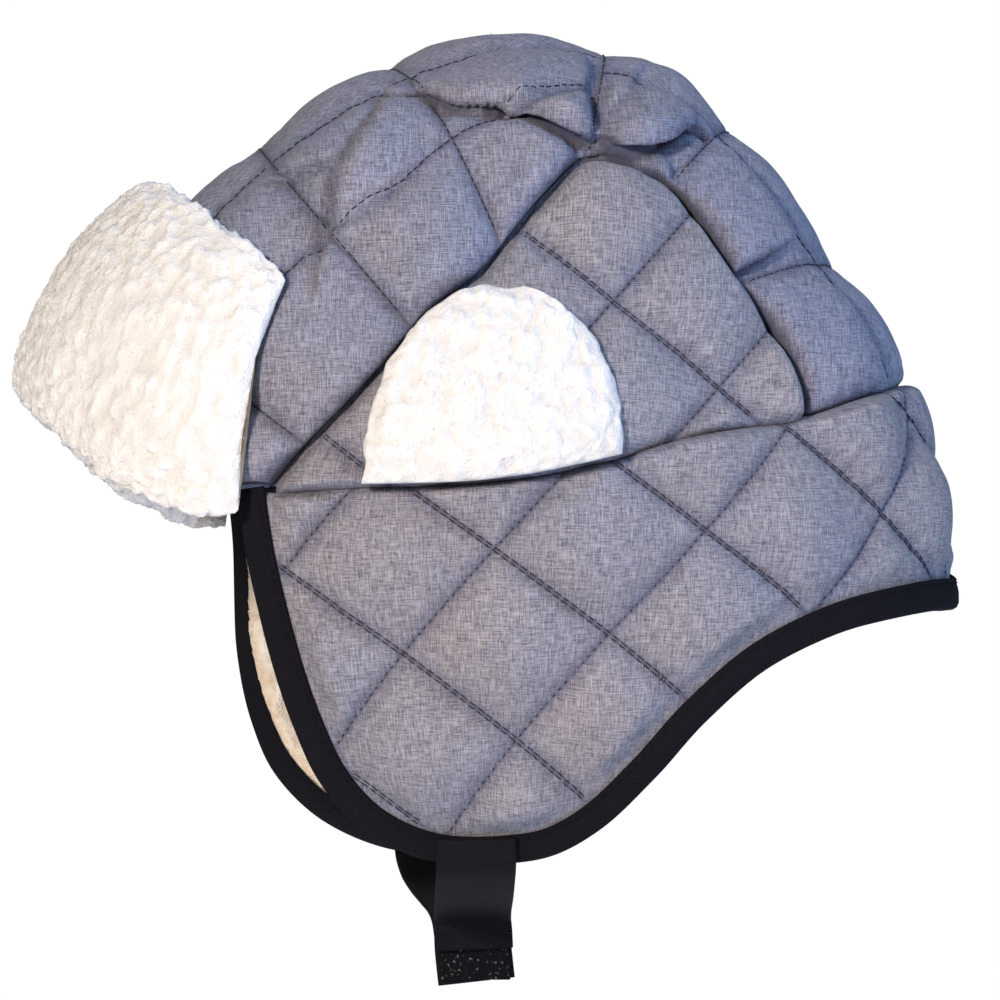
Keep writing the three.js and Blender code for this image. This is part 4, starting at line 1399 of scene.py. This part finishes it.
def edge_frames(steps):
    """Frames along the bound edge: on the edge, inwards over the surface, and out of it."""
    places = np.linspace(0, 2, 2 * steps + 1)
    share = np.clip(1 - np.abs(places - 1), 0.001, 1)
    side = np.where(places <= 1, 1.0, -1.0)
    points = edge_points(share)
    points[:, 0] *= side * (np.abs(places - 1) > 1e-9)
    normals = normal_at(on_left(points))
    normals[:, 0] *= side
    tangents = unit(np.gradient(points, axis=0))
    inward = unit(np.cross(tangents, normals))
    up = np.where(((inward * (np.array([0, 0, -120.0]) - points)).sum(1) < 0)[:, None], -inward, inward)
    return list(zip(points, up, normals)), lengths_along(points)


class HAT_OT_binding(bpy.types.Operator):
    """Make the dark binding round the ear flaps and the nape"""

    bl_idname = "hat.binding"
    bl_label = "Edge Binding"

    def execute(self, context):
        frames, lengths = edge_frames(BINDING_STEPS)
        first, second = frames[0], frames[1]
        risen = first[0] + unit(first[0] - second[0]) * BINDING_RISE
        last, before = frames[-1], frames[-2]
        ended = last[0] + unit(last[0] - before[0]) * BINDING_RISE
        frames = [(risen, *first[1:]), *frames, (ended, *last[1:])]
        lengths = np.concatenate([[0], lengths + BINDING_RISE, [lengths[-1] + 2 * BINDING_RISE]])
        outline = binding_outline(context.scene.hat_sizes)
        data = swept("flap_binding", frames, outline, lengths)
        new_piece("flap_binding", data, material_for("binding", context), ["edge_binding"])
        return {"FINISHED"}


# Ends of the brow flap round the head, at its foot and its head, and how square its section's corners are
FLAP_FOOT_ANGLE = 43.5
FLAP_HEAD_ANGLE = 47.5
FLAP_CORNER = 0.7
flap_head = curve_through(column(FLAP_SECTIONS, "share"), column(FLAP_SECTIONS, "head"))
flap_drop = curve_through(column(FLAP_SECTIONS, "share"), column(FLAP_SECTIONS, "drop"))
flap_over = curve_through(column(FLAP_SECTIONS, "share"), column(FLAP_SECTIONS, "over"))


def cornered(value):
    return np.sign(value) * np.abs(value) ** FLAP_CORNER


def flap_place(sizes):
    thickness = sizes.flap_thickness / MM

    def place(u, v, outer):
        share = 2 * u - 1
        width = np.abs(share)
        squeeze = np.sqrt(np.maximum(1 - width**7, 0.0005))
        turn = 2 * np.pi * v
        up = cornered(np.cos(turn))
        out = cornered(np.sin(turn))
        rise = 0.5 + 0.5 * up * mix(0.9, 1, squeeze)
        foot_angle = width * FLAP_FOOT_ANGLE
        foot = at_angle(foot_angle, hem_at(foot_angle) - flap_drop(width))
        waist = 1 - 0.045 * np.sin(np.pi * rise) * width**6
        head = at_angle(width * FLAP_HEAD_ANGLE * waist, flap_head(width))
        base = between(foot, head, rise)
        half = thickness * mix(1.04, 0.9, rise) * squeeze / 2
        height = flap_over(width) * mix(1.05, 0.76, rise) + out * half
        side = np.where(share < 0, 1.0, -1.0)
        solid = lift(base, height)
        solid[:, 0] = side * np.abs(solid[:, 0])
        away = normal_at(base) * out[:, None] + unit(head - foot) * up[:, None]
        away[:, 0] *= side
        away = unit(away)
        fluff = curls(solid, sizes.curl / MM, 3.0) * sizes.pile / MM
        lumps = softness(solid, 17, 1.3, 9.0)
        solid = solid + away * (fluff - 0.9 + lumps)[:, None]
        flat = np.stack([share * FLAP_CLOTH[0], v * FLAP_CLOTH[1]], 1)
        return solid, flat, fluff

    return place


# Flat size of the brow flap's cloth, half round the head and once round its section
FLAP_CLOTH = (90, 150)


class HAT_OT_brow_flap(bpy.types.Operator):
    """Make the sherpa flap that is turned up over the brow"""

    bl_idname = "hat.brow_flap"
    bl_label = "Brow Flap"

    def execute(self, context):
        sizes = context.scene.hat_sizes
        data = placed_mesh("sherpa_brow", share_grid(250, 180, False), flap_place(sizes))
        mesh = bmesh.new()
        mesh.from_mesh(data)
        bmesh.ops.remove_doubles(mesh, verts=mesh.verts, dist=2e-5)
        bmesh.ops.holes_fill(mesh, edges=[edge for edge in mesh.edges if edge.is_boundary], sides=0)
        bmesh.ops.recalc_face_normals(mesh, faces=mesh.faces)
        mesh.to_mesh(data)
        mesh.free()
        pile = material_for("sherpa", context)
        new_piece("sherpa_brow", data, pile, ["brow_flap"])
        return {"FINISHED"}


# The tape under the foot of the brow flap
BROW_TAPE_WIDTH = 9.2
BROW_TAPE_THICKNESS = 1.2


def brow_tape_place(u, v, outer):
    share = 2 * u - 1
    angle = np.abs(share) * (TEMPLE_ANGLE - 3)
    points = at_angle(angle, hem_at(angle) - TOUCH_GAP)
    lifted = lift(points, mix(-WALL, BROW_TAPE_WIDTH - WALL, v))
    lifted[:, 2] -= np.where(outer, 0, BROW_TAPE_THICKNESS)
    lifted[:, 0] = np.where(share < 0, 1, -1) * np.abs(lifted[:, 0]) * (np.abs(share) > 1e-6)
    return lifted, np.stack([share * 80, v * BROW_TAPE_WIDTH], 1), 0 * u


class HAT_OT_brow_tape(bpy.types.Operator):
    """Make the dark tape along the foot of the brow flap"""

    bl_idname = "hat.brow_tape"
    bl_label = "Brow Tape"

    def execute(self, context):
        data = placed_mesh("foot_tape", share_grid(90, 8, True), brow_tape_place)
        new_piece("foot_tape", data, material_for("binding", context), ["brow_tape"])
        return {"FINISHED"}


# Middle of the ear patch on the side view
PATCH_MIDDLE_Y = -13.8


def patch_place(sizes, mirror):
    width = sizes.patch_width / MM
    tall = sizes.patch_height / MM
    thickness = sizes.patch_thickness / MM

    def hem(y):
        return hem_at(angle_of(on_side(y, -100.0))) + SEAM_HALF_GAP

    def place(u, v, outer):
        across = 2 * u - 1
        half = width / 2 * np.sqrt(1 - 0.985 * v**2.2)
        y = PATCH_MIDDLE_Y + across * half + v * 1.5
        foot = mix(hem(PATCH_MIDDLE_Y + across * width / 2), hem(np.full_like(v, PATCH_MIDDLE_Y)), v)
        points = on_side(y, foot + 0.8 + v * tall)
        rim = np.minimum(np.minimum(1 - np.abs(across), (1 - v) * 0.9), 0.02 + v) * 5
        full = np.sqrt(1 - (1 - np.clip(rim, 0, 1)) ** 2)
        base = sizes.puff / MM * 0.72 + TOUCH_GAP + 1
        fluff = curls(points, sizes.curl / MM, 6.0) * sizes.pile / MM
        top = base + 0.8 + (thickness - 2.2) * full + fluff * mix(0.6, 1, full)
        y = y + softness(points, 5, 1.2, 3.3) * (1 - full)
        points = on_side(y, points[:, 2] + softness(points, 5, 1.0, 4.4) * (1 - full) * smooth(v * 6))
        lifted = lift(points, np.where(outer, top, base - 2.5))
        flat = np.stack([y, points[:, 2]], 1)
        if mirror:
            lifted[:, 0] = -lifted[:, 0]
        return lifted, flat, fluff

    return place


class HAT_OT_ear_patches(bpy.types.Operator):
    """Make the half-round sherpa patches over the ears"""

    bl_idname = "hat.ear_patches"
    bl_label = "Ear Patches"

    def execute(self, context):
        sizes = context.scene.hat_sizes
        for name, mirror in (("left", False), ("right", True)):
            data = placed_mesh("sherpa_patch_" + name, share_grid(104, 80, True), patch_place(sizes, mirror))
            pile = material_for("sherpa", context)
            new_piece("sherpa_patch_" + name, data, pile, ["ear_patch_" + name])
        return {"FINISHED"}


def strap_frames(extra, mirror, steps):
    rows = np.stack([column(STRAP_PATH, axis) for axis in "xyz"], 1)
    if extra:
        rows = np.vstack([rows, rows[-1] + [0, 0.9, -extra]])
    path = Path(rows)
    share = np.linspace(0, 1, steps + 1)
    points = path.at(share)
    tangents = unit(np.gradient(points, axis=0))
    width = np.array([0, 1.0, 0]) - tangents * tangents[:, 1:2]
    width = unit(width)
    face = unit(np.cross(tangents, width))
    if mirror:
        for array in (points, width, face):
            array[:, 0] = -array[:, 0]
    return list(zip(points, width, face)), share * path.length


def strap_outline(width, thickness):
    half = width / 2
    t = thickness / 2
    return (
        (-half, -t * 0.4),
        (-half + 0.5, -t),
        (-half + 2.0, -t),
        (0, -t * 1.05),
        (half - 2.0, -t),
        (half - 0.5, -t),
        (half, -t * 0.4),
        (half, t * 0.4),
        (half - 0.5, t),
        (half - 2.0, t * 0.92),
        (half - 2.5, t),
        (0, t * 1.05),
        (-half + 2.5, t),
        (-half + 2.0, t * 0.92),
        (-half + 0.5, t),
        (-half, t * 0.4),
    )


class HAT_OT_chin_straps(bpy.types.Operator):
    """Make the webbing straps, joined under the chin"""

    bl_idname = "hat.chin_straps"
    bl_label = "Chin Straps"

    def execute(self, context):
        sizes = context.scene.hat_sizes
        outline = strap_outline(sizes.strap_width / MM, sizes.strap_thickness / MM)
        webbing = material_for("webbing", context)
        for name, mirror, extra in (("left", False, 0), ("right", True, RIGHT_STRAP_EXTRA)):
            frames, lengths = strap_frames(extra, mirror, 90)
            data = swept("webbing_" + name, frames, outline, lengths)
            new_piece("webbing_" + name, data, webbing, ["chin_strap_" + name])
        return {"FINISHED"}


class HAT_OT_hook_tape(bpy.types.Operator):
    """Make the hook tape on the end of the right strap"""

    bl_idname = "hat.hook_tape"
    bl_label = "Hook Tape"

    def execute(self, context):
        low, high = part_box("hook_tape")
        mesh = bmesh.new()
        bmesh.ops.create_cube(mesh, size=1)
        bmesh.ops.scale(mesh, vec=Vector(high) - Vector(low), verts=mesh.verts)
        bmesh.ops.translate(mesh, vec=(Vector(high) + Vector(low)) / 2, verts=mesh.verts)
        bmesh.ops.bevel(
            mesh, geom=mesh.edges[:], offset=0.0003, segments=2, profile=0.5, affect="EDGES", material=-1
        )
        layer = mesh.loops.layers.uv.new("cloth")
        for face in mesh.faces:
            for loop in face.loops:
                loop[layer].uv = (loop.vert.co.y, loop.vert.co.z)
        data = bpy.data.meshes.new("tape_end")
        mesh.to_mesh(data)
        mesh.free()
        new_piece("tape_end", data, material_for("hooks", context), ["hook_tape"])
        return {"FINISHED"}


# Stitching


def stitch_template():
    """One low spindle of thread along X, one unit long and wide."""
    mesh = bmesh.new()
    bmesh.ops.create_uvsphere(mesh, u_segments=6, v_segments=4, radius=0.5)
    bmesh.ops.rotate(mesh, verts=mesh.verts, matrix=Matrix.Rotation(math.pi / 2, 3, "Y"))
    points = np.array([vertex.co[:] for vertex in mesh.verts])
    faces = [[vertex.index for vertex in face.verts] for face in mesh.faces]
    mesh.free()
    return points, faces


def surface_tree(names):
    """The finished surfaces of pieces in millimetres, to lay stitches on."""
    points = []
    faces = []
    for name in names:
        data = bpy.data.objects[name].data
        base = len(points)
        points.extend(vertex.co / MM for vertex in data.vertices)
        faces.extend([base + corner for corner in face.vertices] for face in data.polygons)
    return BVHTree.FromPolygons(points, faces)


# The ray that looks for the surface under a stitch: how high it starts over the seam, and its length
RAY_START = 11
RAY_LENGTH = 14

# How high the middle of a stitch lies over the surface, in threads
STITCH_RISE = 0.4


def stitch_mesh(name, runs, thread, tree, pitch, length):
    """Stitches along runs of points and normals, laid on the finished surface under them."""
    template, faces = stitch_template()
    points = []
    joined = []
    for line, normals in runs:
        line = seated(line)
        lengths = lengths_along(line)
        for where in np.arange(pitch / 2, lengths[-1] - length / 2, pitch):
            normal = unit(np.array([np.interp(where, lengths, normals[:, k]) for k in range(3)]))
            hits = []
            for place in (where - length / 3, where + length / 3):
                end = np.array([np.interp(place, lengths, line[:, k]) for k in range(3)])
                start = Vector(end / MM + normal * RAY_START)
                hits.append(tree.ray_cast(start, Vector(-normal), RAY_LENGTH)[0])
            if None in hits:
                continue
            behind, ahead = (np.array(hit) * MM for hit in hits)
            if np.linalg.norm(ahead - behind) > length:
                continue
            along = unit(ahead - behind)
            across = unit(np.cross(normal, along))
            axes = np.stack([along * length, across * thread, normal * thread])
            base = len(points) * len(template)
            points.append(template @ axes + (behind + ahead) / 2 + normal * thread * STITCH_RISE)
            joined.extend([[base + corner for corner in face] for face in faces])
    data = bpy.data.meshes.new(name)
    data.from_pydata(np.concatenate(points).tolist(), [], joined)
    data.update()
    return data


def doubled(points, normals, gap):
    """Two lines beside a line."""
    along = unit(np.gradient(points, axis=0))
    across = unit(np.cross(normals, along)) * gap / 2
    return [(points + across, normals), (points - across, normals)]


def both_sides(lines):
    """Each line and its mirror image."""
    result = []
    for points, normals in lines:
        result.append((points, normals))
        result.append((points * [-1, 1, 1], normals * [-1, 1, 1]))
    return result


def kept_runs(points, keep):
    """The stretches of a line where keep is true."""
    runs = []
    normals = normal_at(points)
    start = None
    for i, good in enumerate(list(keep) + [False]):
        if good and start is None:
            start = i
        if not good and start is not None:
            if i - start > 3:
                runs.append((points[start:i], normals[start:i]))
            start = None
    return runs


def crown_seams():
    lines = []
    share = np.linspace(0.03, 1, 90)
    for row in CROSS_LINES[1:-1]:
        lines.append(crown_surface(share, np.full_like(share, row["middle"] / MIDDLE_TOTAL))[0])
    for row, following in zip(CROSS_LINES, CROSS_LINES[1:]):
        along = np.linspace(row["middle"], following["middle"], 40) / MIDDLE_TOTAL
        along = np.clip(along, 0.008, 0.992)
        for k in range(1, row["cells"]):
            share = np.full_like(along, k / row["cells"])
            for _ in range(4):
                pull = line_pull(crown_surface(share, along)[0]) * (row["cells"] > 2)
                share = (k - pull) / row["cells"]
            lines.append(crown_surface(share, along)[0])
    runs = []
    for points in lines:
        runs.extend(kept_runs(points, np.ones(len(points), bool)))
    return both_sides(runs)


def lattice_lines(quilt, low, high, samples):
    """The quilting lines of a field in its flat coordinates, and whether a line falls to the back."""
    steps = np.linspace(low, high, samples)
    for k in range(low, high + 1):
        for first, second in (("right", "up"), ("up", "right")):
            a = np.array(quilt["at"]) + k * np.array(quilt[first]) + steps[:, None] * np.array(quilt[second])
            yield a[:, 0], a[:, 1], second == "right"


def side_seams():
    single = []
    double = []
    for y, z, falling in lattice_lines(SIDE_QUILT, -4, 4, 300):
        keep = (y > ARCH[0]["y"]) & (y < ARCH[-1]["y"]) & (z < Z_TOP - 12)
        y, z = y[keep], z[keep]
        if len(y) < 4:
            continue
        points = on_side(y, z)
        roof = np.interp(y, arch_path.points[:, 1], arch_path.points[:, 2])
        floor = hem_at(angle_of(points))
        inside = (z < roof) & (z > floor + 1.5) & (nearest(points, arch_path.points) > 2.5)
        (double if falling else single).extend(kept_runs(points, inside))
    return both_sides(single), both_sides(double)


def band_seams(sizes):
    single = []
    double = []
    for girth, z, falling in lattice_lines(BAND_QUILT, -6, 8, 600):
        keep = (girth > 20) & (girth < GIRTH_LENGTHS[-1]) & (z < -76) & (z > -202)
        girth, z = girth[keep], z[keep]
        if len(girth) < 4:
            continue
        points = at_angle(angle_at_girth(girth), z)
        angle = angle_of(points)
        bottom = np.interp(girth, girth_at(column(EDGE, "angle")), column(EDGE, "z"))
        inside = (z < hem_at(angle) - 1.0) & (z > bottom) & (angle > TEMPLE_ANGLE)
        inside &= nearest(points, EDGE_SAMPLES) > sizes.binding_width / MM + 0.5
        (double if falling else single).extend(kept_runs(points, inside))
    return both_sides(single), both_sides(double)


# Distance between the two rows of a falling seam
DOUBLE_GAP = 0.9

# Stitches of each field of seams, as shares of the pitch and length of the crown's, and of the binding
STITCH_SHARES = dict(crown=(1, 1), rising=(0.95, 0.55), falling=(1.15, 1.2))
BINDING_STITCH = dict(pitch=0.0028, length=0.0019, inset=1.3)


class HAT_OT_stitching(bpy.types.Operator):
    """Sew the quilting and the binding"""

    bl_idname = "hat.stitching"
    bl_label = "Stitching"

    def execute(self, context):
        sizes = context.scene.hat_sizes
        material = material_for("thread", context)
        tree = surface_tree(["crown_center", "side_left", "side_right", "ear_flaps"])
        side_single, side_double = side_seams()
        band_single, band_double = band_seams(sizes)
        double = []
        for points, normals in side_double + band_double:
            double.extend(doubled(points, normals, DOUBLE_GAP))
        fields = (("crown", crown_seams()), ("rising", side_single + band_single), ("falling", double))
        for name, runs in fields:
            pitch_share, length_share = STITCH_SHARES[name]
            pitch = pitch_share * sizes.stitch_pitch
            length = length_share * sizes.stitch
            data = stitch_mesh(name + "_stitches", runs, sizes.thread, tree, pitch, length)
            new_piece(name + "_stitches", data, material, [])
        frames, _ = edge_frames(BINDING_STEPS)
        across = sizes.binding_width / MM - BINDING_STITCH["inset"]
        points = np.array([origin + inward * across for origin, inward, _ in frames])
        normals = np.array([normal for _, _, normal in frames])
        tree = surface_tree(["flap_binding"])
        pitch, length = BINDING_STITCH["pitch"], BINDING_STITCH["length"]
        data = stitch_mesh("binding_stitches", [(points, normals)], sizes.thread, tree, pitch, length)
        new_piece("binding_stitches", data, material_for("binding", context), [])
        return {"FINISHED"}


# Stage

# The photograph's view: angles in degrees, distance in metres, and the pixel where the tables have their zero
CAMERA_AZIMUTH = 84.5
CAMERA_ELEVATION = -1.5
CAMERA_DISTANCE = 1.8
PIXELS_PER_METRE = 3850.0
FRAME_PIXELS = 1000.0
ZERO_PIXEL = (515.0, 82.0)

# How far the floor lies under the hat, and its glow to the camera and on the hat
FLOOR_DROP = 0.3
FLOOR_GLOW = dict(seen=0.6, always=0.1)

# Light of the white room to the camera and on the hat
ROOM_GLOW = dict(seen=0.88, always=0.12)

# Lamps: place and size in metres, power in watts
LAMPS = (
    dict(name="key", place=(1.55, -0.7, 0.25), size=0.25, power=26.5, colour=(1.0, 0.875, 0.775)),
    dict(name="low", place=(0.62, 0.72, -0.6), size=0.3, power=11, colour=(0.3, 0.52, 1.0)),
    dict(name="sky", place=(0.65, 1.1, 1.05), size=0.6, power=15, colour=(0.42, 0.64, 1.0)),
)


def area_lamp(target, name, place, size, power, colour):
    lamp = bpy.data.lights.new(name, "AREA")
    lamp.shape = "DISK"
    lamp.size = size
    lamp.energy = power
    lamp.color = colour
    holder = bpy.data.objects.new(name, lamp)
    bpy.context.collection.objects.link(holder)
    holder.location = place
    holder.rotation_euler = (target - Vector(place)).to_track_quat("-Z", "Y").to_euler()


def glow(nodes, seen, always):
    """Strength of a light that is brighter to the camera than on the hat."""
    camera_ray = nodes.tree.nodes.new("ShaderNodeLightPath").outputs["Is Camera Ray"]
    return nodes.math("ADD", nodes.math("MULTIPLY", camera_ray, seen), always)


def photo_direction():
    """Direction from the hat to the camera."""
    azimuth = math.radians(CAMERA_AZIMUTH)
    elevation = math.radians(CAMERA_ELEVATION)
    flat = math.cos(elevation)
    return Vector((math.sin(azimuth) * flat, -math.cos(azimuth) * flat, math.sin(elevation)))


class HAT_OT_stage(bpy.types.Operator):
    """Set the pale floor, the soft lights and the camera"""

    bl_idname = "hat.stage"
    bl_label = "Stage"

    def execute(self, context):
        mesh = bmesh.new()
        bmesh.ops.create_grid(mesh, x_segments=1, y_segments=1, size=3.0)
        bmesh.ops.translate(mesh, verts=mesh.verts, vec=(0, 0, CAD_BOX[0][2] - FLOOR_DROP))
        data = bpy.data.meshes.new("floor")
        mesh.to_mesh(data)
        mesh.free()
        floor = bpy.data.objects.new("floor", data)
        context.collection.objects.link(floor)
        material, nodes, shader = start_material("pale_floor", 0.7, 0.5)
        grain = nodes.noise(nodes.place(), 6.0, 2.0)
        nodes.put(shader.inputs["Base Color"], nodes.blend(grain, (0.9, 0.9, 0.9, 1), (0.93, 0.93, 0.93, 1)))
        shader.inputs["Emission Color"].default_value = (1, 1, 1, 1)
        nodes.put(shader.inputs["Emission Strength"], glow(nodes, **FLOOR_GLOW))
        data.materials.append(material)

        back = photo_direction()
        middle = FRAME_PIXELS / 2
        behind = (middle - ZERO_PIXEL[0]) / PIXELS_PER_METRE
        above = (ZERO_PIXEL[1] - middle) / PIXELS_PER_METRE
        target = Vector((0, behind, above - SEAT_HEIGHT * MM))
        camera = bpy.data.cameras.new("camera")
        camera.sensor_width = 36
        camera.lens = camera.sensor_width * CAMERA_DISTANCE * PIXELS_PER_METRE / FRAME_PIXELS
        camera.clip_end = 20
        holder = bpy.data.objects.new("camera", camera)
        context.collection.objects.link(holder)
        holder.location = target + back * CAMERA_DISTANCE
        holder.rotation_euler = (-back).to_track_quat("-Z", "Y").to_euler()
        context.scene.camera = holder

        world = bpy.data.worlds.new("studio")
        world.use_nodes = True
        background = world.node_tree.nodes["Background"]
        background.inputs["Color"].default_value = (1, 1, 1, 1)
        nodes = Nodes(world.node_tree)
        nodes.put(background.inputs["Strength"], glow(nodes, **ROOM_GLOW))
        context.scene.world = world
        for lamp in LAMPS:
            area_lamp(target, **lamp)
        context.scene.view_settings.view_transform = "Standard"
        return {"FINISHED"}


class HAT_PT_panel(bpy.types.Panel):
    """The hat's pieces in the sidebar"""

    bl_label = "Earflap Hat"
    bl_idname = "HAT_PT_panel"
    bl_space_type = "VIEW_3D"
    bl_region_type = "UI"
    bl_category = "Earflap Hat"

    def draw(self, context):
        for operator in OPERATORS:
            self.layout.operator(operator.bl_idname)


OPERATORS = (
    HAT_OT_centre_panel,
    HAT_OT_side_panels,
    HAT_OT_band,
    HAT_OT_lining,
    HAT_OT_binding,
    HAT_OT_brow_flap,
    HAT_OT_brow_tape,
    HAT_OT_ear_patches,
    HAT_OT_chin_straps,
    HAT_OT_hook_tape,
    HAT_OT_stitching,
    HAT_OT_stage,
)
CLASSES = (HatSizes, HatColours) + OPERATORS + (HAT_PT_panel,)


def register():
    for cls in CLASSES:
        bpy.utils.register_class(cls)
    bpy.types.Scene.hat_sizes = bpy.props.PointerProperty(type=HatSizes)
    bpy.types.Scene.hat_colours = bpy.props.PointerProperty(type=HatColours)


def unregister():
    del bpy.types.Scene.hat_colours
    del bpy.types.Scene.hat_sizes
    for cls in reversed(CLASSES):
        bpy.utils.unregister_class(cls)


def main():
    register()
    for operator in OPERATORS:
        group, name = operator.bl_idname.split(".")
        getattr(getattr(bpy.ops, group), name)()


if __name__ == "__main__":
    main()
